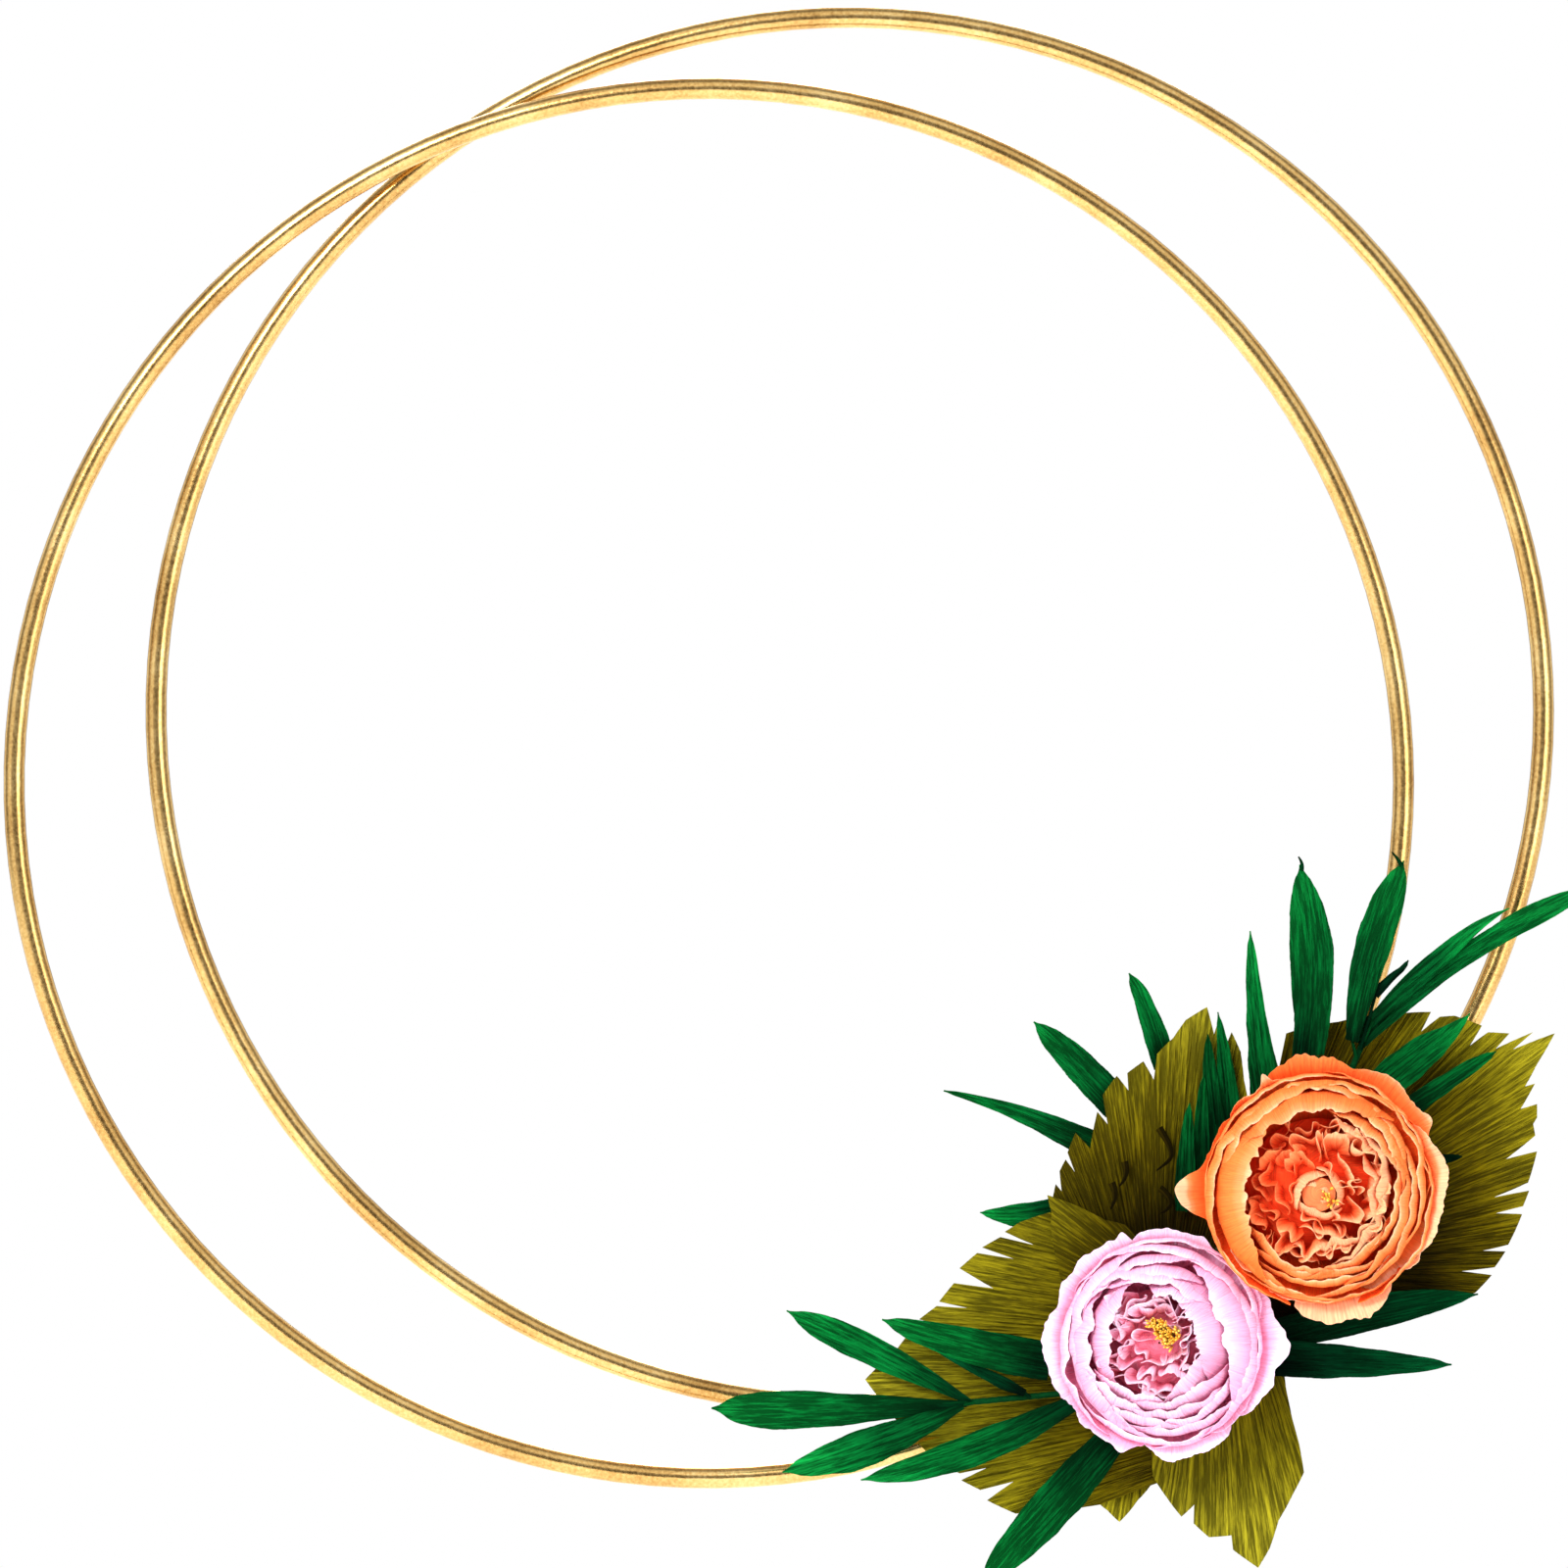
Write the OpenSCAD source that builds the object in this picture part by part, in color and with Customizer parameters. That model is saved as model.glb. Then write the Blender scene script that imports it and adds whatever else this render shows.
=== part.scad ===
// Double hoop wreath dressed with a wired spray of paper flowers and leaves.
// It stands as it hangs: +Z up, +X to the right, and the dressed face looks along -Y.
// The origin is the hang point, at the top of the front hoop's inner edge.

/* [Hoops] */
// Outer diameter of each hoop
hoop_od = 400; // [390:1:410]
// Diameter of the hoop's round rod
rod_d = 6; // [5:0.5:7]
// Clear gap between the two hoops, front to back
hoop_gap = 1; // [0.8:0.1:2]
// How far the rear hoop's centre stands to the right of the front hoop's
rear_right = 40; // [35:1:45]
// How far the rear hoop's centre stands above the front hoop's
rear_up = 20.5; // [18:0.5:23]

/* [Lashing] */
// Radius of the lashing wire
lash_wire_r = 0.4; // [0.3:0.05:0.4]
// Turns of lashing wire round both rods
lash_turns = 3; // [2:1:3]
// Clear half-width inside each turn, wide enough for the rods to swing
lash_half = 4.1; // [4.1:0.1:5]

/* [Stems] */
// Radius of the taped bundle that all the stems are gathered in
bundle_r = 2.2; // [2:0.1:2.3]
// Thickness of the tape that binds the bundle to the front hoop
tape_t = 0.5; // [0.3:0.1:0.6]
// Radius of a flower's wire stem
stem_r = 1; // [0.8:0.05:1.2]
// Radius of a sprig's stem
sprig_r = 0.9; // [0.6:0.05:0.9]
// Radius of the wire behind an olive leaf
leaf_wire_r = 0.4; // [0.3:0.05:0.4]
// Gap where a sprig's stem bends at the bundle
bend_gap = 1.2; // [1.2:0.1:2]

/* [Leaves] */
// Thickness of a green blade, two layers of paper glued over a wire
blade_t = 0.4; // [0.3:0.05:0.4]
// Thickness of an olive leaf
olive_t = 0.6; // [0.4:0.05:0.6]
// Spacing of the slits cut into an olive leaf's edge
slit_pitch = 5.5; // [5:0.5:8]
// Depth of those slits
slit_depth = 4; // [2:0.5:5]

/* [Flowers] */
// Thickness of a petal whorl, with the air between its crinkled layers
petal_t = 1.2; // [0.8:0.1:1.3]
// Gap between neighbouring petals of a whorl, in degrees
petal_gap = 1; // [0.5:0.5:3]
// Radial clearance of a flower head on its wire stem
turn_clearance = 0.05; // [0.02:0.01:0.1]

/* [Hidden] */
$fn = 64;
rod_r = rod_d / 2;
hoop_r = hoop_od / 2 - rod_r;
hang_drop = hoop_r - rod_r;
rear_y = rod_d + hoop_gap;
rear_centre = [rear_right, rear_up];

// Points in the wreath's plane are [right, up] from the front hoop's centre, in mm.
// The two rods cross below the right side, square to the line between the centres.
half_way = rear_centre / 2;
away = [rear_up, -rear_right] / norm(rear_centre);
crossing = half_way + away * sqrt(pow(hoop_r, 2) - pow(norm(half_way), 2));
crossing_angle = atan2(crossing[1], crossing[0]);

// Depths, from the hoops towards the viewer; each is the back of its layer
bundle_y = -(rod_r + bundle_r);
left_layer = -4.3;
olive_layer = -7.1;
olive_upper_layer = -8;
olive_fold_layer = -9.4;
inner_layer = -9.8;
front_layer = -10.6;
upper_layer = -11.4;
pink_back = -16.4;
orange_back = -25;

// The taped bundle follows the front hoop between these angles
bundle_from = -53.5;
bundle_to = -28;
tape_bands = [-51, -40.5, -31];
tape_band_angle = 3;

pink_at = [129, -158];
orange_at = [171.5, -114.5];

// A sprig: its depth, where its wire leaves the bundle, the bend it swings about,
// and the points of its stem after that.
LAYER = 0;
START = 1;
PIVOT = 2;
STEM = 3;
left_sprig = [left_layer, -42, [141.5, -125.5], [[136, -115], [129, -107]]];
lower_sprig = [front_layer, -53.2, [112, -168], [[102, -172.5], [70, -175.5]]];
upper_sprig = [upper_layer, -29, [174.5, -94], [[181, -83], [186, -71]]];
inner_sprig = [inner_layer, -38.5, [148, -117], [[147.5, -110], [147, -100]]];
right_sprig = [front_layer, -46, [147, -157], [[151, -160], [156, -161]]];
bottom_sprig = [front_layer, -51, [122, -174], [[120, -177], [116, -182]]];

// A blade: where it joins the stem, the blade's base and tip, its width, its sideways bow.
// Blades are listed from the stem's end back to its bend, so that each clears the next.
left_blades = [
    [[129, -107], [105, -101], [66.5, -87], 7, 1],
    [[130, -108.5], [116, -91], [92, -67.5], 9.5, -1],
    [[133, -111.5], [129.5, -80], [120, -53.5], 7, -1],
    [[135, -113.8], [97, -120.5], [76.5, -121.5], 7.5, 1],
];
lower_blades = [
    [[70, -175.5], [68, -174.5], [22, -149], 8, -1.5],
    [[72.5, -175.3], [68, -175.5], [0.5, -176.5], 10.5, 0],
    [[75, -175.1], [69, -176.5], [20.5, -195], 8.5, 1.5],
    [[91, -173.8], [88, -171.5], [60, -157.5], 3.5, 0],
    [[104.2, -171.5], [97, -167], [49, -151.5], 12, 1.5],
    [[106, -170.7], [101, -175], [43, -197], 7, 1],
];
upper_blades = [
    [[186, -71], [187.5, -67], [250.5, -29.5], 7, -1.5],
    [[185.2, -73], [187, -69], [225, -34], 6, 2],
    [[184.2, -75.5], [189.5, -59], [199, -51], 2, 0],
    [[183.2, -78], [184.5, -69], [193.5, -18], 9.5, -3.5],
    [[182.2, -80.5], [173, -76], [166.5, -20], 12, -1.5],
    [[179.9, -84.9], [191, -86], [216.5, -66.5], 9.5, 1],
    [[178.9, -86.7], [199, -96], [223, -76], 7, 0.5],
    [[177.8, -88.5], [158, -86], [153.5, -41.5], 7.5, 0],
    [[176.3, -91], [198, -108], [215, -106.5], 4, 0],
];
inner_blades = [
    [[147, -100], [147, -94], [144, -64.5], 5.5, 0],
    [[147.2, -102.5], [143.5, -93], [140.5, -70.5], 5.5, 0],
    [[147.4, -106.5], [137, -108], [139, -86], 4, 0],
    [[147.6, -112], [134, -111], [136.5, -94], 4, 0],
];
right_blades = [
    [[156, -161], [160, -158.5], [218, -144.5], 9.5, 1.5],
    [[153.5, -160.5], [160, -163], [210, -164.5], 10, -1.5],
];
bottom_blades = [[[116, -182], [113, -186], [77, -226], 12.5, 0]];

// An olive leaf: its depth, base, tip, the widest reach to its left and to its right with
// where along the leaf each one falls, and where its wire joins the bundle.
inner_leaf = [olive_upper_layer, [129, -131], [141, -63], [33, 0.22], [16, 0.55], -44];
fold_leaf = [olive_fold_layer, [117, -138], [96, -116], [15, 0.38], [7, 0.35], -48.5];
left_leaf = [olive_layer, [117, -172], [44, -169], [38, 0.42], [45, 0.42], -52.8];
right_leaf = [olive_layer, [184, -134], [239, -71], [46, 0.52], [32, 0.42], -33];
lower_leaf = [olive_layer, [143, -168], [155.5, -222], [21, 0.55], [20, 0.6], -48];
small_leaf = [-5.6, [121, -181], [116.5, -209], [6, 0.6], [8, 0.6], -51.5];
olive_leaves = [inner_leaf, fold_leaf, left_leaf, right_leaf, lower_leaf, small_leaf];
// Clear hole left in the right leaf for the stems that stand behind the orange flower
stem_room_r = 24;
wire_reach = 0.6;
// Size of the knuckle at a wire's bend, as a multiple of the wire's radius
knuckle = 1.12;

// Petal whorls of a flower: count, then the inner end, bend and rim of the profile as
// [radius, height], measured from the back of the flower.
pink_outer = [8, [8, 5], [26, 6], [33, 17]];
pink_middle = [7, [8, 8], [24, 9], [21.5, 23]];
pink_inner = [6, [8, 11], [17, 12], [14.5, 22]];
orange_outer = [9, [9, 5.5], [28, 8], [37, 20]];
orange_middle = [8, [9, 8.5], [29, 12], [27, 26]];
orange_inner = [7, [9, 11.5], [21, 14], [18.5, 25]];
profile_steps = 5;
calyx_h = 5;
core_h = 14;
stem_depth = 9;
stamen_r = 0.6;
stamen_h = 6;

// ---- helpers ----

function on_circle(r, a) = [r * cos(a), r * sin(a)];
function mix(a, b, t) = a + (b - a) * t;
function left_of(v) = [-v[1], v[0]] / norm(v);
function at_depth(p, y) = [p[0], y, p[1]];
function curve(a, b, c, t) = mix(mix(a, b, t), mix(b, c, t), t);

// The spray keeps its place on the front hoop when the hoop's size changes
nominal_hoop_r = 197;
spray_shift = on_circle(hoop_r - nominal_hoop_r, -45);

module from_hoop_centre() {
    translate([0, 0, -hang_drop]) children();
}

module in_spray() {
    translate([spray_shift[0], 0, spray_shift[1] - hang_drop]) children();
}

// Stands a flat outline in the wreath's plane, with its back at depth y
module plate(y, thickness) {
    translate([0, y, 0]) rotate([90, 0, 0]) linear_extrude(thickness) children();
}

module rod(from, to, r) {
    v = to - from;
    translate(from) rotate([0, acos(v[2] / norm(v)), atan2(v[1], v[0])])
        cylinder(h = norm(v), r = r);
}

// Straight runs of wire, with a small taped knuckle at each bend.
// seam turns the knuckle's own seam to a side that no rod leaves it by.
module wire(points, r, seam) {
    for (k = [1 : len(points) - 1]) rod(points[k - 1], points[k], r);
    if (len(points) > 2) {
        for (k = [1 : len(points) - 2])
            translate(points[k]) rotate([0, 0, seam]) sphere(r * knuckle);
    }
}

// A round rod along part of a circle in the wreath's plane
module ring(r, rod_radius, from = 0, to = 360) {
    rotate([90, 0, 0]) rotate([0, 0, from]) rotate_extrude(angle = to - from)
        translate([r, 0]) circle(rod_radius);
}

// ---- hoops and lashing ----

module front_hoop() {
    color("goldenrod") from_hoop_centre() ring(hoop_r, rod_r, $fn = 96);
}

module rear_hoop() {
    color("goldenrod") from_hoop_centre() translate([rear_right, rear_y, rear_up])
        ring(hoop_r, rod_r, $fn = 96);
}

// One turn of wire: two straight sides and two half rings
module lash_turn() {
    side = lash_half + lash_wire_r;
    front_end = lash_half - rod_r;
    rear_end = rear_y - front_end + 0.3;
    for (s = [-1, 1]) rod([s * side, front_end, 0], [s * side, rear_end, 0], lash_wire_r);
    translate([0, front_end, 0]) rotate([0, 0, 180]) rotate_extrude(angle = 180)
        translate([side, 0]) circle(lash_wire_r, $fn = 24);
    translate([0, rear_end, 0]) rotate_extrude(angle = 180)
        translate([side, 0]) circle(lash_wire_r, $fn = 24);
}

module crossing_lashing() {
    pitch = 2 * lash_wire_r + 0.05;
    color("darkolivegreen") from_hoop_centre() translate([crossing[0], 0, crossing[1]])
        rotate([0, -crossing_angle, 0])
        for (k = [0 : lash_turns - 1])
            translate([0, 0, (k - (lash_turns - 1) / 2) * pitch]) lash_turn();
}

// ---- stems ----

module stem_bundle() {
    color("darkgreen") from_hoop_centre() translate([0, bundle_y, 0])
        ring(hoop_r, bundle_r, bundle_from, bundle_to);
}

// Cross-section of a tape band: it hugs the hoop's rod and the bundle, and stays open where they touch
module tape_section() {
    difference() {
        union() {
            translate([hoop_r, 0]) circle(rod_r + tape_t);
            translate([hoop_r, -bundle_y]) circle(bundle_r + tape_t);
            translate([hoop_r - bundle_r - tape_t / 2, 0])
                square([2 * bundle_r + tape_t, -bundle_y]);
        }
        translate([hoop_r, 0]) circle(rod_r);
        translate([hoop_r, -bundle_y]) circle(bundle_r);
        translate([hoop_r, rod_r]) square([1.6, 1], center = true);
    }
}

module binding_tape() {
    color("forestgreen") from_hoop_centre()
        for (a = tape_bands)
            rotate([90, 0, 0]) rotate([0, 0, a - tape_band_angle / 2])
                rotate_extrude(angle = tape_band_angle) tape_section();
}

// Wire from the bundle out to the bend that a sprig swings about
module sprig_wire(sprig) {
    y = sprig[LAYER];
    start = on_circle(nominal_hoop_r, sprig[START]);
    pivot = sprig[PIVOT];
    end = pivot + (start - pivot) / norm(start - pivot) * bend_gap / 2;
    wire([at_depth(start, bundle_y), at_depth(start, y - 0.01), at_depth(end, y)],
         sprig_r, seam = 90);
}

module sprig_wires() {
    color("darkgreen") in_spray() {
        sprig_wire(left_sprig);
        sprig_wire(lower_sprig);
        sprig_wire(upper_sprig);
        sprig_wire(inner_sprig);
        sprig_wire(right_sprig);
        sprig_wire(bottom_sprig);
    }
}

module sprig_stem(sprig) {
    y = sprig[LAYER];
    pivot = sprig[PIVOT];
    first = sprig[STEM][0];
    start = pivot + (first - pivot) / norm(first - pivot) * bend_gap / 2;
    color("darkgreen") in_spray()
        wire(concat([at_depth(start, y)], [for (p = sprig[STEM]) at_depth(p, y)]),
             sprig_r, seam = 90);
}

module flower_stem(start_angle, at, back) {
    start = on_circle(nominal_hoop_r, start_angle);
    color("darkgreen") in_spray()
        wire([at_depth(start, bundle_y), at_depth(at, back + 3), at_depth(at, back - stem_depth)],
             stem_r, seam = 0);
}

// ---- green blades ----

blade_steps = 8;
petiole_half = 0.6;

function blade_middle(base, tip, bow, t) =
    mix(base, tip, t) + left_of(tip - base) * bow * 4 * t * (1 - t);
function blade_half(width, t) =
    max(petiole_half * (1 - t), width / 2 * pow(sin(180 * pow(t, 0.8)), 0.9));
function blade_side(base, tip, width, bow, side, k) =
    blade_middle(base, tip, bow, k / blade_steps)
    + left_of(tip - base) * side * blade_half(width, k / blade_steps);

module blade_outline(base, tip, width, bow) {
    polygon(concat(
        [for (k = [0 : blade_steps]) blade_side(base, tip, width, bow, 1, k)],
        [for (k = [blade_steps - 1 : -1 : 0]) blade_side(base, tip, width, bow, -1, k)]
    ));
}

// The paper-wrapped wire between a stem and a blade runs a little way into the blade
module petiole(from, to) {
    side = left_of(to - from) * petiole_half;
    end = to + (to - from) / norm(to - from);
    polygon([from - side, from + side, end + side, end - side]);
    translate(from) circle(petiole_half * 1.1, $fn = 24);
}

// Blade k of a sprig lies k paper thicknesses in front of the sprig's stem
module blade(sprig, blades, k) {
    b = blades[k];
    stem_front = sprig[LAYER] - sprig_r;
    color([0, 0.45, 0.18]) in_spray() {
        plate(stem_front - k * blade_t, blade_t) blade_outline(b[1], b[2], b[3], b[4]);
        plate(stem_front - k * blade_t, blade_t) petiole(b[0], b[1]);
        if (k > 0) plate(stem_front, k * blade_t)
            translate(b[0]) circle(petiole_half, $fn = 24);
    }
}

// ---- olive leaves ----

// Reach of a leaf's side at t along it: it swells to its widest place, then draws in
function swell(widest, t) =
    t < widest ? pow(sin(90 * t / widest), 0.7) : pow(cos(90 * (t - widest) / (1 - widest)), 0.75);
function leaf_point(base, tip, reach, side, t, cut) =
    mix(base, tip, t)
    + left_of(tip - base) * side * max(0, reach[0] * swell(reach[1], t) - cut);

// One side of a leaf: straight slits leave a row of teeth that lean to the tip
function leaf_side(base, tip, reach, side) =
    let (n = floor(norm(tip - base) / slit_pitch), step = 1 / (n + 1))
    [for (k = [1 : n], slit = [0, 1])
        let (t = (k + slit * 0.25) * step)
        leaf_point(base, tip, reach, side, t, slit * min(slit_depth, reach[0] * 0.4))];

function backwards(list) = [for (k = [len(list) - 1 : -1 : 0]) list[k]];

module leaf_outline(leaf) {
    base = leaf[1];
    tip = leaf[2];
    polygon(concat(
        [base],
        leaf_side(base, tip, leaf[3], 1),
        [tip],
        backwards(leaf_side(base, tip, leaf[4], -1))
    ));
}

module olive_leaf(leaf) {
    color("darkolivegreen") in_spray() plate(leaf[0], olive_t) leaf_outline(leaf);
}

module olive_leaf_right() {
    color("darkolivegreen") in_spray() plate(right_leaf[0], olive_t) difference() {
        leaf_outline(right_leaf);
        translate(orange_at) circle(stem_room_r);
    }
}

// Each wire touches the back of its leaf and slopes back to the bundle
module leaf_wires() {
    color("darkgreen") in_spray()
        for (leaf = olive_leaves) {
            start = at_depth(mix(leaf[1], leaf[2], wire_reach), leaf[0] + leaf_wire_r);
            end = at_depth(on_circle(nominal_hoop_r, leaf[5]), bundle_y);
            rod(start, end, leaf_wire_r);
        }
}

// ---- flowers ----

module facing_viewer(at, back) {
    in_spray() translate(at_depth(at, back)) rotate([90, 0, 0]) children();
}

// A strip that follows the whorl's profile, petal_t thick
module petal_profile(whorl) {
    line = [for (k = [0 : profile_steps]) curve(whorl[1], whorl[2], whorl[3], k / profile_steps)];
    last = profile_steps;
    dir = [for (k = [0 : last]) line[min(k + 1, last)] - line[max(k - 1, 0)]];
    polygon(concat(
        [for (k = [0 : last]) line[k] - left_of(dir[k]) * petal_t / 2],
        [for (k = [last : -1 : 0]) line[k] + left_of(dir[k]) * petal_t / 2]
    ));
}

module whorl_petals(whorl) {
    span = 360 / whorl[0];
    for (k = [0 : whorl[0] - 1])
        rotate([0, 0, k * span]) rotate_extrude(angle = span - petal_gap) petal_profile(whorl);
}

module whorl(at, back, rows, tint) {
    color(tint) facing_viewer(at, back) whorl_petals(rows);
}

// Green base of the flower, bored for the wire stem
module calyx(at, back) {
    color("olivedrab") facing_viewer(at, back) difference() {
        rotate_extrude() polygon([[0, 0], [3, 0], [7, 3], [7, calyx_h], [0, calyx_h]]);
        translate([0, 0, -1]) cylinder(h = calyx_h + 2, r = stem_r + turn_clearance);
    }
}

module core(at, back, tint) {
    color(tint) facing_viewer(at, back) difference() {
        rotate_extrude() polygon([[0, calyx_h], [6.5, calyx_h], [7, 9], [5.5, 12.5], [3, core_h], [0, core_h]]);
        translate([0, 0, calyx_h - 1]) cylinder(h = stem_depth - calyx_h + 1.5, r = stem_r + turn_clearance);
    }
}

module stamens(at, back) {
    color("gold") facing_viewer(at, back) {
        translate([0, 0, core_h]) cylinder(h = stamen_h, r = stamen_r, $fn = 24);
        for (k = [0 : 5]) rotate([0, 0, 60 * k]) translate([2, 0, core_h])
            cylinder(h = stamen_h, r = stamen_r, $fn = 24);
    }
}

// ---- drawing ----

front_hoop();
rear_hoop();
crossing_lashing();
stem_bundle();
binding_tape();
sprig_wires();
leaf_wires();
olive_leaf(inner_leaf);  // olive_leaf_inner
olive_leaf(fold_leaf);  // olive_leaf_fold
olive_leaf(left_leaf);  // olive_leaf_left
olive_leaf_right();
olive_leaf(lower_leaf);  // olive_leaf_lower
olive_leaf(small_leaf);  // olive_leaf_small
flower_stem(-49.5, pink_at, pink_back);  // pink_stem
calyx(pink_at, pink_back);  // pink_calyx
core(pink_at, pink_back, "palevioletred");  // pink_core
stamens(pink_at, pink_back);  // pink_stamens
whorl(pink_at, pink_back, pink_inner, "hotpink");  // pink_inner_petals
whorl(pink_at, pink_back, pink_middle, "pink");  // pink_middle_petals
whorl(pink_at, pink_back, pink_outer, "pink");  // pink_outer_petals
flower_stem(-35.5, orange_at, orange_back);  // orange_stem
calyx(orange_at, orange_back);  // orange_calyx
core(orange_at, orange_back, "tomato");  // orange_core
stamens(orange_at, orange_back);  // orange_stamens
whorl(orange_at, orange_back, orange_inner, "tomato");  // orange_inner_petals
whorl(orange_at, orange_back, orange_middle, "coral");  // orange_middle_petals
whorl(orange_at, orange_back, orange_outer, "sandybrown");  // orange_outer_petals
sprig_stem(left_sprig);  // left_sprig_stem
blade(left_sprig, left_blades, 0);  // left_blade_1
blade(left_sprig, left_blades, 1);  // left_blade_2
blade(left_sprig, left_blades, 2);  // left_blade_3
blade(left_sprig, left_blades, 3);  // left_blade_4
sprig_stem(lower_sprig);  // lower_sprig_stem
blade(lower_sprig, lower_blades, 0);  // lower_blade_1
blade(lower_sprig, lower_blades, 1);  // lower_blade_2
blade(lower_sprig, lower_blades, 2);  // lower_blade_3
blade(lower_sprig, lower_blades, 3);  // lower_blade_4
blade(lower_sprig, lower_blades, 4);  // lower_blade_5
blade(lower_sprig, lower_blades, 5);  // lower_blade_6
sprig_stem(upper_sprig);  // upper_sprig_stem
blade(upper_sprig, upper_blades, 0);  // upper_blade_1
blade(upper_sprig, upper_blades, 1);  // upper_blade_2
blade(upper_sprig, upper_blades, 2);  // upper_blade_3
blade(upper_sprig, upper_blades, 3);  // upper_blade_4
blade(upper_sprig, upper_blades, 4);  // upper_blade_5
blade(upper_sprig, upper_blades, 5);  // upper_blade_6
blade(upper_sprig, upper_blades, 6);  // upper_blade_7
blade(upper_sprig, upper_blades, 7);  // upper_blade_8
blade(upper_sprig, upper_blades, 8);  // upper_blade_9
sprig_stem(inner_sprig);  // inner_sprig_stem
blade(inner_sprig, inner_blades, 0);  // inner_blade_1
blade(inner_sprig, inner_blades, 1);  // inner_blade_2
blade(inner_sprig, inner_blades, 2);  // inner_blade_3
blade(inner_sprig, inner_blades, 3);  // inner_blade_4
sprig_stem(right_sprig);  // right_sprig_stem
blade(right_sprig, right_blades, 0);  // right_blade_1
blade(right_sprig, right_blades, 1);  // right_blade_2
sprig_stem(bottom_sprig);  // bottom_sprig_stem
blade(bottom_sprig, bottom_blades, 0);  // bottom_blade
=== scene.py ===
"""Looks of the double hoop wreath: gold hoops, crepe-paper leaves and blades, two crepe-paper flowers."""
from math import atan2, cos, hypot, pi, radians, sin, sqrt

import bpy
import numpy as np
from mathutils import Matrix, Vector


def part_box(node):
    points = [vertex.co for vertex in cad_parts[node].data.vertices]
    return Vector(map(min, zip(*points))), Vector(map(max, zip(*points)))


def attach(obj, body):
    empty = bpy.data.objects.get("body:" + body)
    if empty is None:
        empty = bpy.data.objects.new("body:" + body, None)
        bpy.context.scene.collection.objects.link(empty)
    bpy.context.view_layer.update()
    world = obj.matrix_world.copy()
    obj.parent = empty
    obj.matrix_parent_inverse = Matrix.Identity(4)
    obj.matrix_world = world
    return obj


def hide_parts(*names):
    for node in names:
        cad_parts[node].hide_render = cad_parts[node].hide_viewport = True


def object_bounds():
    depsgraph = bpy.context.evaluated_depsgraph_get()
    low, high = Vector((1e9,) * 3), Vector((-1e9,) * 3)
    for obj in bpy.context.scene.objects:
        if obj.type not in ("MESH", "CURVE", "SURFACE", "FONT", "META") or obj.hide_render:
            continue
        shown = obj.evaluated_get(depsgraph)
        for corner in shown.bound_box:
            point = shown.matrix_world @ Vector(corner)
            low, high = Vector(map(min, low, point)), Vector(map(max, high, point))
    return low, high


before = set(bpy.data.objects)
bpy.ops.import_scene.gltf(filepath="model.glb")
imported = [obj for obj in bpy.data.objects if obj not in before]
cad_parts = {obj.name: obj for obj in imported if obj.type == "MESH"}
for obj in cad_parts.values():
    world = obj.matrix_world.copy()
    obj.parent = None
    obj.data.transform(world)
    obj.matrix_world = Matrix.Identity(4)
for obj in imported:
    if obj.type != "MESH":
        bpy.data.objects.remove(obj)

CAD_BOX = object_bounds()
MM = 0.001


# ------------ the frame

def middle(node):
    lo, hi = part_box(node)
    return [(a + b) / 2 for a, b in zip(lo, hi)]


CENTRE = np.array(middle("front_hoop"))
REAR_CENTRE = middle("rear_hoop")
ROD_R = (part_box("front_hoop")[1][1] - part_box("front_hoop")[0][1]) / 2
HOOP_R = (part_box("front_hoop")[1][0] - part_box("front_hoop")[0][0]) / 2 - ROD_R


def layered(*values):
    """Values laid over each other as the layers of one grid."""
    return np.stack(np.broadcast_arrays(*values), -1)


def column(first, last, count):
    """Even steps down a grid."""
    return np.linspace(first, last, count)[:, None]


def row(first, last, count):
    """Even steps along a grid."""
    return np.linspace(first, last, count)[None, :]


def place(x, y, z):
    """Points given in mm from the front hoop's centre, as metres in the row frame."""
    return layered(x, y, z).astype(float) * MM + CENTRE


# ------------ shapes

def smooth(t):
    t = np.clip(t, 0, 1)
    return t * t * (3 - 2 * t)


def ripples(seed, x, y=0.0, waves=6):
    """Smooth random waves between about -1 and 1, about one to each 6 units of x and y."""
    rng = np.random.default_rng(seed)
    total = 0.0
    for _ in range(waves):
        turn = rng.uniform(0, 2 * pi)
        pace = rng.uniform(0.6, 1.5)
        phase = rng.uniform(0, 2 * pi)
        total = total + np.sin(pace * (x * cos(turn) + y * sin(turn)) + phase)
    return total / sqrt(waves) * 0.75


def crinkle(seed, across, along=0.0):
    """Crepe ridges: narrow across the grain, long with it. across and along are in mm."""
    rng = np.random.default_rng(seed)
    total = 0.0
    for _ in range(5):
        pitch = rng.uniform(0.9, 1.9)
        drift = rng.uniform(-0.04, 0.04)
        total = total + np.sin(2 * pi * (across / pitch + along * drift) + rng.uniform(0, 6.3))
    return total / 2.6


def surface_normals(p):
    du = np.gradient(p, axis=1)
    dv = np.gradient(p, axis=0)
    n = np.cross(du, dv)
    size = np.linalg.norm(n, axis=-1, keepdims=True)
    return n / np.maximum(size, 1e-12)


SHARP_EDGE = radians(50)


def link(name, data):
    thing = bpy.data.objects.new(name, data)
    bpy.context.scene.collection.objects.link(thing)
    return thing


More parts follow.
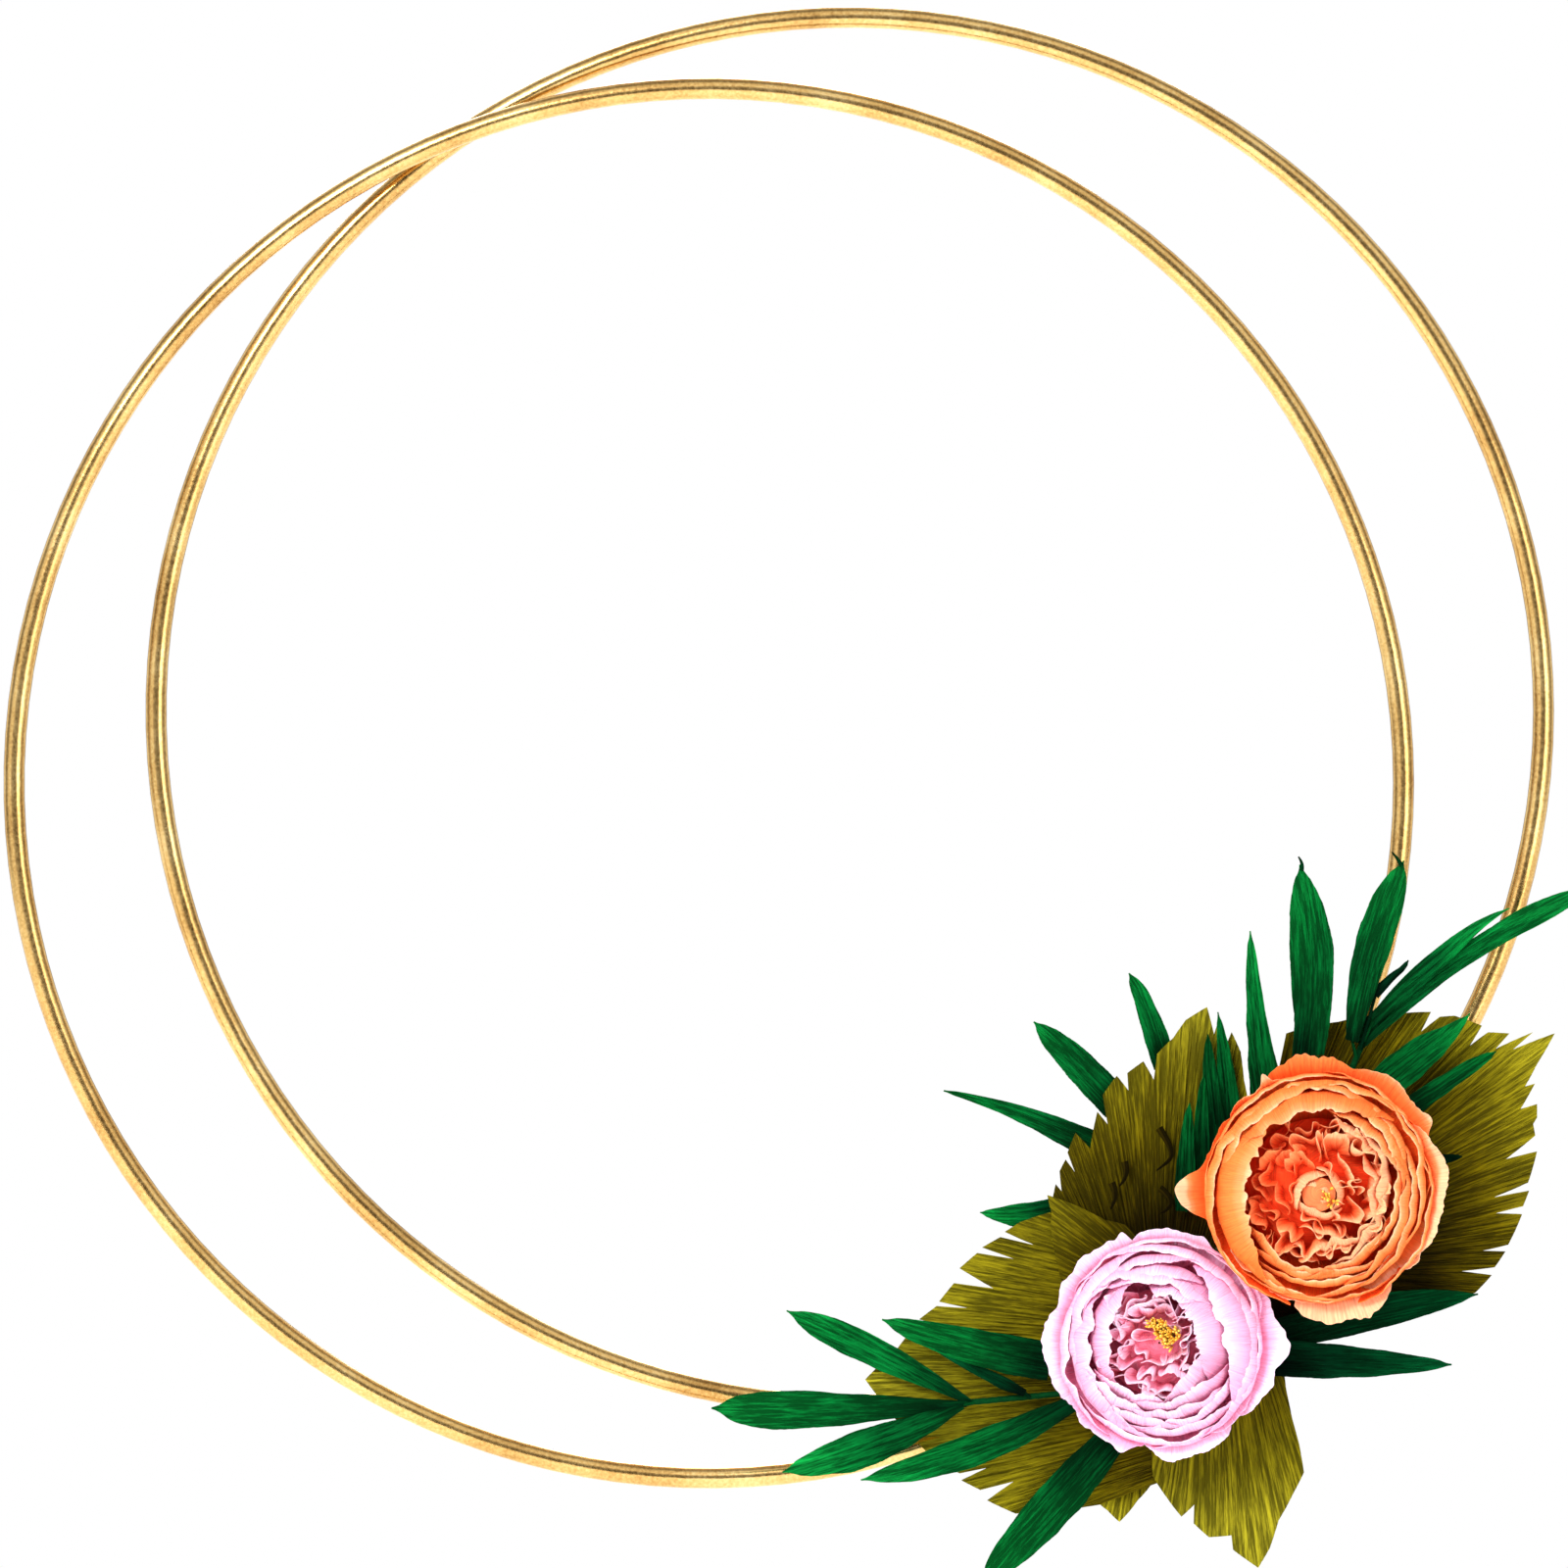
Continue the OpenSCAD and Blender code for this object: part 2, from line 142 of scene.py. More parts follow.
class Paper:
    """Gathers grids of points into one mesh of thin closed sheets."""

    def __init__(self):
        self.points, self.faces, self.uvs, self.inks = [], [], [], []
        self.count = 0

    def sheet(self, p, thickness, across, along, ink):
        """p: rows by columns of points in metres. across and along: the grain's own mm.
        The tone marks: rows by columns of (place along the piece, 0 to 1, which the colour ramps turn into
        the paper's tone and, on the leaves and blades, into painted shade; a number for the sheet)."""
        rows, cols = p.shape[:2]
        n = surface_normals(p) * thickness / 2
        both = np.concatenate([(p + n).reshape(-1, 3), (p - n).reshape(-1, 3)])
        grid = np.arange(rows * cols).reshape(rows, cols) + self.count
        a, b = grid[:-1, :-1].ravel(), grid[:-1, 1:].ravel()
        c, d = grid[1:, 1:].ravel(), grid[1:, :-1].ravel()
        k = rows * cols
        quads = [np.stack([a, b, c, d], 1), np.stack([d, c, b, a], 1) + k]
        rim = np.concatenate([grid[0, :], grid[1:, -1], grid[-1, -2::-1], grid[-2:0:-1, 0]])
        after = np.roll(rim, -1)
        quads.append(np.stack([after, rim, rim + k, after + k], 1))
        self.points.append(both)
        self.faces.append(np.concatenate(quads))
        uv = layered(across, along).reshape(-1, 2)
        self.uvs.append(np.concatenate([uv, uv]))
        ink = np.broadcast_to(ink, (rows, cols, 2)).reshape(-1, 2)
        self.inks.append(np.concatenate([ink, ink]))
        self.count += 2 * k

    def wire(self, line, radius, **extras):
        """A tube along points given in mm from the front hoop's centre; radius in mm too."""
        self.tube(np.array(line) * MM + CENTRE, np.array(radius) * MM, **extras)

    def tube(self, line, radius, sides=10, ink=(0.5, 0.5), ridge=0.0, ridge_pitch=1.0):
        """A closed round tube along a line of points in metres; radius is a number or one a point."""
        line = np.asarray(line, float)
        rows = len(line)
        radius = np.broadcast_to(radius, (rows,)).astype(float)
        step = np.gradient(line, axis=0)
        step /= np.maximum(np.linalg.norm(step, axis=1, keepdims=True), 1e-12)
        length = np.concatenate([[0], np.cumsum(np.linalg.norm(np.diff(line, axis=0), axis=1))])
        side = np.zeros_like(line)
        guess = np.array([0.0, 1.0, 0.0]) if abs(step[0][1]) < 0.9 else np.array([1.0, 0.0, 0.0])
        for k in range(rows):
            guess = guess - step[k] * guess.dot(step[k])
            guess /= np.linalg.norm(guess)
            side[k] = guess
        up = np.cross(step, side)
        turn = np.arange(sides) / sides * 2 * pi
        swell = 1 + ridge * np.sin(turn[None, :] + length[:, None] / (ridge_pitch * MM) * 2 * pi)
        r = (radius[:, None] * swell)[..., None]
        ring = line[:, None, :] + r * (np.cos(turn)[None, :, None] * side[:, None, :]
                                       + np.sin(turn)[None, :, None] * up[:, None, :])
        pts = np.concatenate([ring.reshape(-1, 3), line[:1], line[-1:]])
        grid = np.arange(rows * sides).reshape(rows, sides) + self.count
        nxt = np.roll(grid, -1, axis=1)
        quads = np.stack([grid[:-1].ravel(), nxt[:-1].ravel(), nxt[1:].ravel(), grid[1:].ravel()], 1)
        first, last = self.count + rows * sides, self.count + rows * sides + 1
        self.points.append(pts)
        self.faces.append(quads)
        self.faces.append(np.stack([nxt[0], grid[0], np.full(sides, first)], 1))
        self.faces.append(np.stack([grid[-1], nxt[-1], np.full(sides, last)], 1))
        uv = np.stack([np.broadcast_to(turn * 2, (rows, sides)),
                       np.broadcast_to(length[:, None] / MM, (rows, sides))], -1).reshape(-1, 2)
        self.uvs.append(np.concatenate([uv, [[0, 0], [0, length[-1] / MM]]]))
        self.inks.append(np.broadcast_to(ink, (len(pts), 2)))
        self.count += len(pts)

    def build(self, name, material):
        points = np.concatenate(self.points)
        faces = [f for block in self.faces for f in block.tolist()]
        mesh = bpy.data.meshes.new(name)
        mesh.from_pydata(points.tolist(), [], faces)
        mesh.validate()
        uvs = np.concatenate(self.uvs)
        inks = np.pad(np.concatenate(self.inks), ((0, 0), (0, 2)), constant_values=1)
        corner = np.empty(len(mesh.loops), int)
        mesh.loops.foreach_get("vertex_index", corner)
        layer = mesh.uv_layers.new(name="grain")
        layer.data.foreach_set("uv", uvs[corner].astype(np.float32).ravel())
        paint = mesh.color_attributes.new(name="ink", type="FLOAT_COLOR", domain="POINT")
        paint.data.foreach_set("color", inks.astype(np.float32).ravel())
        mesh.shade_smooth()
        mesh.set_sharp_from_angle(angle=SHARP_EDGE)
        mesh.materials.append(material)
        return link(name, mesh)


def hand_in(sheets, node, body, material, ending="_paper"):
    """Makes the piece that stands for a CAD node."""
    piece = sheets.build(node + ending, material)
    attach(piece, body)
    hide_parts(node)


# ------------ materials

class Nodes:
    """Short hand for the node tree of a material or of the world."""

    def __init__(self, owner):
        owner.use_nodes = True
        self.owner = owner
        self.tree = owner.node_tree
        self.shader = self.tree.nodes.get("Principled BSDF")

    def feed(self, socket, value):
        if hasattr(value, "is_output"):
            self.tree.links.new(value, socket)
        else:
            socket.default_value = value

    def fill(self, node, inputs):
        for key, value in inputs.items():
            self.feed(node.inputs[key.replace("_", " ")], value)

    def add(self, kind, **inputs):
        node = self.tree.nodes.new(kind)
        self.fill(node, inputs)
        return node

    def finish(self, **inputs):
        """Feeds the shader's own sockets, and gives back what it paints."""
        self.fill(self.shader, inputs)
        return self.owner

    def math(self, operation, *values):
        node = self.add("ShaderNodeMath")
        node.operation = operation
        for socket, value in zip(node.inputs, values):
            self.feed(socket, value)
        return node.outputs[0]

    def total(self, start, parts):
        """start plus each value times its share."""
        for value, share in parts:
            start = self.math("MULTIPLY_ADD", value, share, start)
        return start

    def choose(self, switch, when_off, when_on):
        node = self.add("ShaderNodeMixShader")
        for socket, value in zip(node.inputs, (switch, when_off, when_on)):
            self.feed(socket, value)
        return node.outputs[0]

    def ramp(self, value, stops):
        """stops: (place, linear colour)."""
        node = self.add("ShaderNodeValToRGB", Fac=value)
        ends = node.color_ramp.elements
        while len(ends) < len(stops):
            ends.new(0.5)
        for element, (spot, colour) in zip(ends, stops):
            element.position = spot
            element.color = colour
        return node.outputs["Color"]

    def noise(self, vector, scale=1.0, detail=2.0, rough=0.5):
        node = self.add("ShaderNodeTexNoise", Vector=vector, Scale=scale, Detail=detail, Roughness=rough)
        return node.outputs["Fac"]

    def bump(self, height, strength, distance, **under):
        """under: Normal, the bumps that these lie on."""
        node = self.add("ShaderNodeBump", Height=height, Strength=strength, Distance=distance, **under)
        return node.outputs["Normal"]


def rgb(r, g, b):
    """An sRGB colour, 0 to 255, as the linear colour that Blender uses."""
    line = [c / 255 / 12.92 if c / 255 <= 0.04045 else ((c / 255 + 0.055) / 1.055) ** 2.4 for c in (r, g, b)]
    return (*line, 1.0)


def tones(stops):
    """Colour stops from (place, red, green, blue), each 0 to 255."""
    return [(spot, rgb(*colour)) for spot, *colour in stops]


def new_material(name):
    return Nodes(bpy.data.materials.new(name))


def ink_parts(m):
    """Two marks on the paper: the place along the piece, whose colour is the paper's tone and, on the leaves
    and blades, painted shade; and a number for each sheet.
    """
    ink = m.add("ShaderNodeAttribute")
    ink.attribute_name = "ink"
    split = m.add("ShaderNodeSeparateColor", Color=ink.outputs["Color"])
    return split.outputs[0], split.outputs[1]


def grain_vector(m, seed, pitch, run):
    """Coordinates that make a noise streaky: pitch mm across the grain, run mm along it."""
    uv = m.add("ShaderNodeUVMap")
    uv.uv_map = "grain"
    split = m.add("ShaderNodeSeparateXYZ", Vector=uv.outputs["UV"])
    across = m.math("DIVIDE", split.outputs["X"], pitch)
    along = m.math("DIVIDE", split.outputs["Y"], run)
    depth = m.math("MULTIPLY", seed, 37.0)
    return m.add("ShaderNodeCombineXYZ", X=across, Y=along, Z=depth).outputs["Vector"]


def crepe(name, colours, pitch=1.2, run=14.0, contrast=0.5, relief=0.35, gloss=0.12, glow=0.0, floor=0.6):
    """Crepe paper. colours: stops of (along the piece, red, green, blue). pitch and run: the width and
    length in mm of its streaks; contrast: how much they and the sheets differ; floor: the darkest that a
    streak makes it; relief: depth of its ridges; glow: how much light comes through it."""
    m = new_material(name)
    along, seed = ink_parts(m)
    streak = m.noise(grain_vector(m, seed, pitch, run), detail=3.0, rough=0.55)
    fibre = m.noise(grain_vector(m, seed, pitch * 0.3, run * 0.25), detail=2.0)
    blotch = m.noise(grain_vector(m, seed, pitch * 14, run * 1.2), detail=1.0)
    lines = m.noise(grain_vector(m, seed, pitch * 0.7, run * 1.6), detail=1.0)
    marks = [(streak, 1.3), (blotch, 0.45), (lines, 1.0), (fibre, 0.7), (seed, 0.5)]
    even = 1.0 - 0.5 * contrast * sum(share for _, share in marks)
    gain = m.math("MAXIMUM", m.total(even, [(mark, contrast * share) for mark, share in marks]), floor)
    scaled = m.add("ShaderNodeVectorMath")
    scaled.operation = "SCALE"
    m.fill(scaled, dict(Vector=m.ramp(along, tones(colours)), Scale=gain))
    ridges = m.bump(m.math("ADD", streak, lines), relief, 0.0006)
    if glow:
        m.finish(Subsurface_Weight=glow, Subsurface_Radius=(1.0, 0.7, 0.7), Subsurface_Scale=0.0004)
    return m.finish(Base_Color=scaled.outputs["Vector"], Roughness=m.total(0.75, [(streak, 0.2)]),
                    Normal=m.bump(fibre, relief * 0.5, 0.0002, Normal=ridges), Specular_IOR_Level=gloss)


def gold_plate():
    """Polished gold plate with a fine speckle and small changes of tone."""
    m = new_material("hoop_gold")
    spot = m.add("ShaderNodeNewGeometry").outputs["Position"]
    pits = m.noise(spot, 1100.0, 3.0, 0.6)
    cloud = m.noise(spot, 45.0, 3.0)
    shade = m.total(0.0, [(pits, 0.45), (cloud, 0.55)])
    colour = m.ramp(shade, tones([(0.32, 172, 128, 68), (0.5, 212, 172, 104), (0.66, 232, 200, 136)]))
    return m.finish(Base_Color=colour, Metallic=1.0, Roughness=m.total(0.16, [(pits, 0.14)]),
                    Normal=m.bump(pits, 0.07, 0.0003))


def wound_tape(name, dark, light):
    """Waxed paper tape wound in a spiral: its turns show as soft bands."""
    m = new_material(name)
    seed = ink_parts(m)[1]
    fine = m.noise(grain_vector(m, seed, 0.8, 0.6), detail=3.0)
    broad = m.noise(grain_vector(m, seed, 3.0, 4.0), detail=1.0)
    shade = m.total(0.0, [(fine, 0.6), (broad, 0.4)])
    return m.finish(Base_Color=m.ramp(shade, tones([(0.3, *dark), (0.7, *light)])),
                    Roughness=m.total(0.45, [(fine, 0.25)]), Normal=m.bump(fine, 0.3, 0.0003),
                    Specular_IOR_Level=0.02)


def worn_wire():
    """Green lacquer on wire, worn in spots."""
    m = new_material("lashing_wire")
    spot = m.add("ShaderNodeNewGeometry").outputs["Position"]
    worn = m.noise(spot, 900.0, 3.0)
    return m.finish(Base_Color=m.ramp(worn, tones([(0.35, 58, 70, 30), (0.65, 104, 116, 60)])), Metallic=0.6,
                    Roughness=m.total(0.3, [(worn, 0.3)]))


GOLD = gold_plate()
# GREEN darkens from the blades' tips to their roots: partly the paper's own tone, partly painted shade where
# the roots lie near the flowers.
GREEN = crepe(
    "green_crepe", [(0.0, 0, 30, 11), (0.3, 1, 58, 22), (0.7, 2, 80, 30), (1.0, 5, 94, 36)],
    pitch=0.75, run=9.0, contrast=2.8, relief=1.0, gloss=0.02, floor=0.55)
# A darker copy of the green, painted as shade for the blades that lie in the flowers' shadow.
SHADED_GREEN = crepe(
    "shaded_green_crepe", [(0.0, 0, 10, 4), (0.4, 0, 34, 15), (1.0, 0, 64, 29)],
    pitch=0.75, run=9.0, contrast=2.0, relief=0.8, gloss=0.02)
# OLIVE's darkest stops paint the flowers' shade on the leaves near their roots; its lighter stops are the
# paper's own olive.
OLIVE = crepe(
    "olive_crepe", [(0.0, 14, 10, 0), (0.3, 32, 25, 0), (0.55, 76, 66, 2), (0.8, 98, 90, 9),
                    (1.0, 116, 109, 20)],
    pitch=0.8, run=13.0, contrast=3.1, relief=1.3, gloss=0.03, floor=0.55)
PETAL = dict(pitch=0.55, contrast=0.5, relief=0.5, glow=0.6)
PINK = crepe(
    "pink_crepe", [(0.0, 236, 104, 140), (0.45, 241, 128, 166), (0.7, 245, 152, 190), (0.88, 248, 180, 212),
                   (1.0, 250, 208, 232)], run=9.0, **PETAL)
PINK_IN = crepe(
    "pink_crepe_inner", [(0.0, 214, 82, 108), (0.45, 234, 112, 138), (0.75, 246, 152, 180),
                         (1.0, 252, 198, 220)], run=7.0, **PETAL)
# The last, cream stop of this ramp, at the petals' rims, is a painted highlight along them.
ORANGE = crepe(
    "orange_crepe", [(0.0, 232, 62, 12), (0.45, 242, 84, 24), (0.7, 248, 104, 38), (0.86, 250, 124, 60),
                     (0.95, 252, 150, 94), (1.0, 254, 190, 148)], run=9.0, **PETAL)
ORANGE_IN = crepe(
    "orange_crepe_inner", [(0.0, 206, 42, 10), (0.5, 238, 84, 36), (0.85, 252, 134, 82),
                           (1.0, 254, 172, 126)], run=7.0, **PETAL)
YELLOW = crepe(
    "stamen_yellow", [(0.0, 222, 140, 40), (0.6, 248, 196, 66), (1.0, 255, 222, 110)],
    pitch=0.5, run=2.0, contrast=0.4, relief=0.3)
CALYX = crepe("calyx_crepe", [(0.0, 60, 92, 30), (1.0, 120, 150, 62)], pitch=0.8, run=5.0, contrast=0.4)
TAPE = wound_tape("stem_tape", (6, 50, 20), (22, 92, 42))
WRAP = wound_tape("wrapped_stem", (1, 36, 14), (4, 64, 26))
LASHING = worn_wire()

for hoop in ("front_hoop", "rear_hoop"):
    bpy.data.objects[hoop].data.materials.clear()
    bpy.data.objects[hoop].data.materials.append(GOLD)


# ------------ green blades

SPINE = (0.0, 0.2, 0.4, 0.6, 0.8, 0.93, 1.0)
BLADE_SHEET = 0.25
BLADE_ROWS, BLADE_COLS = 64, 26
LEFT_HALF = 0.1


def blade(node, root, base, tip, widths, bow, curl, seed, material=GREEN, crease=0.8, hook=0.0,
          crumple=0.45, painted_shade=0.0, tail=None):
    """A narrow paper blade on a wire, all in mm. base and tip: (right, up); widths: its width at each place
    of SPINE; bow: how far it bows sideways; curl: how far the tip leans to the viewer; root: where its wire
    leaves the stem; crease: depth of the fold along its middle; hook: how far the tip bends over
    sideways; crumple: its unevenness; painted_shade: how much darker it is painted, 0 to 1, as shade
    where it lies in the flowers' shadow; tail: the way that a bare end of its wire goes on past its tip.
    LEFT_HALF is how much wider its left half is."""
    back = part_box(node)[0][1] / MM
    base, tip = np.array(base, float), np.array(tip, float)
    run = tip - base
    length = np.hypot(*run)
    ahead = run / length
    left = np.array([-ahead[1], ahead[0]])
    t = column(0, 1, BLADE_ROWS)
    s = row(-1, 1, BLADE_COLS)
    bend = bow * 4 * t * (1 - t) + hook * np.clip((t - 0.72) / 0.28, 0, 1) ** 2
    fine = np.linspace(0, 1, 201)
    half = np.interp(fine, SPINE, list(widths) + [0.5])
    half = np.convolve(np.pad(half, 12, mode="edge"), np.ones(25) / 25, "valid")
    half = np.interp(t, fine, half) / 2
    point = np.interp(t, (0, 0.93, 1.0), (1, 1, 0.0))
    half = np.maximum(half * point ** 0.7, 0.12)
    edge = 1 + 0.035 * ripples(seed + 5, t * 26, s * 5) + 0.012 * ripples(seed + 8, t * 150, s * 9)
    off = s * half * edge * (1 + LEFT_HALF * np.sign(s))
    depth = -curl * t ** 2 - 0.25 * curl * t
    share = np.clip(half / (max(widths) / 2), 0, 1)
    fold = crease * (1 - np.abs(s) ** 0.8) * share
    y = back + depth + fold + crumple * ripples(seed, t * length / 4, s * 1.5) * smooth(t * 3)
    y = y + crumple * 0.5 * ripples(seed + 3, t * length / 11, s * 6.0) * share * smooth(t * 3)
    y = y + 0.09 * crinkle(seed + 9, off, t * length) * smooth(t * 4)
    sideways = bend + off
    x = base[0] + ahead[0] * t * length + left[0] * sideways
    z = base[1] + ahead[1] * t * length + left[1] * sideways
    sheets = Paper()
    rng = np.random.default_rng(seed + 77)
    # The blade's tone runs from dark at its root to light at its tip, partly the paper's own tone and partly
    # painted shade where the root lies near the flowers; blades in the flowers' shadow are painted darker all
    # over; the ripples are the paper's own uneven tone.
    shade = np.clip(t * (1 - painted_shade) - 0.2 * painted_shade + 0.12 * ripples(seed + 6, t * 9, s * 2), 0, 1)
    ink = layered(shade, rng.uniform(0.25, 0.75))
    sheets.sheet(place(x, y, z), BLADE_SHEET * MM, off, t * length, ink)
    rib = []
    root = np.array(root, float)
    for k in range(6):
        q = root + (base - root) * k / 6
        rib.append((q[0], back + 0.2, q[1]))
    for k in range(0, int(BLADE_ROWS * 0.8), 4):
        q = base + ahead * k / (BLADE_ROWS - 1) * length + left * float(bend[k, 0])
        rib.append((q[0], back + float(depth[k, 0]) + crease + 0.35, q[1]))
    sheets.wire(rib, np.linspace(0.55, 0.2, len(rib)), sides=8, ink=(0.3, 0.5))
    if tail:
        middle_col = BLADE_COLS // 2
        spur = []
        for share in np.linspace(0, 1, 7):
            aside = 0.18 * (tail[0] + tail[1]) * sin(pi * share)
            spur.append((x[-3, middle_col] + tail[0] * share + aside, back - curl * 1.25 + 0.1,
                         z[-3, middle_col] + tail[1] * share))
        sheets.wire(spur, np.linspace(0.75, 0.22, 7), sides=8, ink=(0.12, 0.5))
    hand_in(sheets, node, node.split("_")[0] + "_sprig", material)


LONG = (1.5, 5, 8, 10.5, 11, 7)
BLADES = [
    # node, root, base, tip, widths, bow, curl, the rest
    ("left_blade_1", (129, -107), (109, -102.5), (66.5, -87), (9, 7.2, 5.4, 3.8, 2.2, 1.2), -1.5, 3, dict()),
    ("left_blade_2", (130, -108.5), (116, -91), (92, -67.5), (9.5, 9.6, 9, 8.2, 6.2, 2.8), -0.6, 2, dict()),
    ("left_blade_3", (133, -111.5), (129.5, -80), (119.7, -53.5), (6.5, 7, 6.6, 5.4, 4.6, 2.4), -0.6, 2,
     dict(hook=0.8)),
    ("left_blade_4", (135, -113.8), (99, -120.5), (76.8, -121.5), (7.5, 7.3, 7, 6, 3.6, 1.8), 1, -0.4,
     dict(crumple=0.3)),
    ("lower_blade_1", (70, -175.5), (74, -175), (22, -149), (1.5, 4.5, 7.6, 8.6, 7.6, 4), -1, 5, dict()),
    ("lower_blade_2", (72.5, -175.3), (73, -175.5), (0.8, -176.5), LONG, 0.5, 5, dict(crease=1.2)),
    ("lower_blade_3", (75, -175.1), (72, -176), (20.8, -194.6), (1.5, 6, 9.5, 11, 8, 4), 1.2, 4, dict()),
    ("lower_blade_4", (91, -173.8), (89.5, -172.4), (64, -160), (2, 3.6, 3.2, 2.6, 1.8, 1), 0, 1.5,
     dict(crease=0.4, material=SHADED_GREEN)),
    ("lower_blade_5", (103, -172.2), (97, -163), (49, -151.5), (11, 11, 10.2, 8.8, 6.4, 3.4), 1, 3, dict()),
    ("lower_blade_6", (106, -170.7), (103, -175), (43, -196.8), (4.5, 7.8, 9.4, 9, 6.6, 3.4), 2.5, 4, dict()),
    ("upper_blade_1", (186, -71), (183.5, -73), (250.5, -29.5), (6, 6.8, 5.6, 5.8, 6.6, 4.2), 3.6, 3, dict()),
    ("upper_blade_2", (185.2, -73), (188, -67), (225, -34), (3, 5, 5.8, 5, 3, 1.4), 0.5, 3, dict(hook=-1.8)),
    ("upper_blade_3", (184.2, -75.5), (188.5, -60), (198.5, -50.8), (2.6, 2.8, 2.4, 2, 1.6, 1.2), 0.5, 1,
     dict(crease=0.2, hook=1, material=SHADED_GREEN, painted_shade=0.5)),
    ("upper_blade_4", (183.2, -78), (182, -73), (197, -22), (3.4, 6.8, 9.4, 10.4, 9, 4.8), 1.6, 3,
     dict(crease=1.4, hook=0.6, tail=(-2.8, 4))),
    ("upper_blade_5", (182.2, -80.5), (170, -77), (167, -23), (9, 10.6, 12.2, 12.4, 9.2, 4.4), -2.6, 4,
     dict(crease=1.5, tail=(-0.8, 4))),
    ("upper_blade_6", (180.8, -83.5), (186, -90), (216, -66.2), (9, 10.2, 10.4, 9, 5, 2), 0.6, 3,
     dict(crease=1.2, hook=1.4)),
    ("upper_blade_7", (179.3, -86), (197, -93), (222.5, -75.8), (6, 5.8, 5.2, 4.6, 3.6, 2), 0.3, 2,
     dict(painted_shade=0.25)),
    ("upper_blade_8", (177.8, -88.5), (159.5, -94), (153, -41.7), (11, 9, 6.8, 5, 3.5, 2), 0.9, 3, dict()),
    ("upper_blade_9", (176.3, -91), (198, -108), (213, -105.5), (4.2, 4, 3.6, 3, 2.2, 1.2), 0, 0.5,
     dict(crease=0.3, material=SHADED_GREEN, painted_shade=0.7)),
    ("inner_blade_1", (147, -100), (148.5, -104), (144, -64.7), (7, 6.8, 5.8, 4.6, 3, 1.4), -0.6, 2,
     dict(painted_shade=0.25)),
    ("inner_blade_2", (147.2, -102.5), (144.5, -104), (141.2, -71), (6, 6, 5.4, 4.6, 3.2, 1.8), 0.4, 1,
     dict(painted_shade=0.4)),
    ("inner_blade_3", (147.4, -106.5), (139.5, -116), (140, -82.5), (5.2, 5.4, 4.8, 4, 3, 1.8), 0.2, 1,
     dict(painted_shade=0.4)),
    ("inner_blade_4", (147.6, -110), (135, -121), (136, -90.5), (5.4, 6, 5.4, 4.4, 3.2, 1.8), 0.2, 1,
     dict(painted_shade=0.4)),
    ("right_blade_1", (156, -161), (158, -157), (217.5, -144.4), (8, 10, 10.6, 9.6, 6.4, 3), 0.6, 3,
     dict(material=SHADED_GREEN)),
    ("right_blade_2", (153.5, -160.5), (157, -162.8), (210, -164.3), (10, 10.6, 9.4, 7.6, 5, 2.8), -0.6, 3,
     dict(material=SHADED_GREEN)),
    ("bottom_blade", (116, -182), (114, -185), (77, -226), (8.5, 11.4, 12.6, 11.6, 9, 5.4), 0, 3,
     dict(crease=1.4)),
]
for number, (node, root, base, tip, widths, bow, curl, rest) in enumerate(BLADES):
    blade(node, root, base, tip, widths, bow, curl, 100 + 13 * number, **rest)


# ------------ wires, stems, tape and lashing

SPRIG_WIRE = 0.88
FLOWER_WIRE = 0.98
LEAF_WIRE = 0.4
CUT_WIRE = 0.42
JOINT_GAP = 0.6
LASHING_WIRE = 0.38
TWISTED_WIRE = 0.36
TAPE_SHEET = 0.13
BUNDLE_ENDS = (-53.5, -28)
BUNDLE_DEPTH = middle("stem_bundle")[1] / MM - CENTRE[1] / MM
BUNDLE_R = (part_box("stem_bundle")[1][1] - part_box("stem_bundle")[0][1]) / MM / 2
RING_R = HOOP_R / MM
SPRIGS = {
    # depth, where the wire leaves the bundle (degrees), the bend, the points of the stem after it
    "left": (-4.3, -42, (141.5, -125.5), [(136, -115), (129, -107)]),
    "lower": (-10.6, -53.2, (112, -168), [(102, -172.5), (70, -175.5)]),
    "upper": (-11.4, -29, (174.5, -94), [(181, -83), (186, -71)]),
    "inner": (-9.8, -38.5, (148, -117), [(147.5, -110), (147, -100)]),
    "right": (-10.6, -46, (147, -157), [(151, -160), (156, -161)]),
    "bottom": (-10.6, -51, (122, -174), [(120, -177), (116, -182)]),
}
LEAF_WIRES = [
    # place on the leaf that the wire reaches, its depth, where it joins the bundle (degrees)
    ((136.2, -90.2), -7.6, -44), ((104.4, -124.8), -9.0, -48.5), ((73.2, -170.2), -6.7, -52.8),
    ((217, -96.2), -6.7, -33), ((150.5, -200.4), -6.7, -48), ((118.3, -197.8), -5.2, -51.5),
]


def on_ring(angle, y, r=RING_R):
    return (r * cos(radians(angle)), y, r * sin(radians(angle)))


def rounded(points, step=0.8, ease=1.6):
    """Points close together along a bent wire, with its bends eased, in mm."""
    pts = np.array(points, float)
    line = [pts[0]]
    for a, b in zip(pts[:-1], pts[1:]):
        n = max(2, int(np.linalg.norm(b - a) / step))
        line.extend(a + (b - a) * k / n for k in range(1, n + 1))
    line = np.array(line)
    reach = max(1, int(ease / step))
    for _ in range(3):
        soft = line.copy()
        for k in range(1, len(line) - 1):
            near = line[max(0, k - reach): k + reach + 1]
            if 0 < k - reach and k + reach < len(line) - 1:
                soft[k] = near.mean(axis=0)
        line = soft
    return line


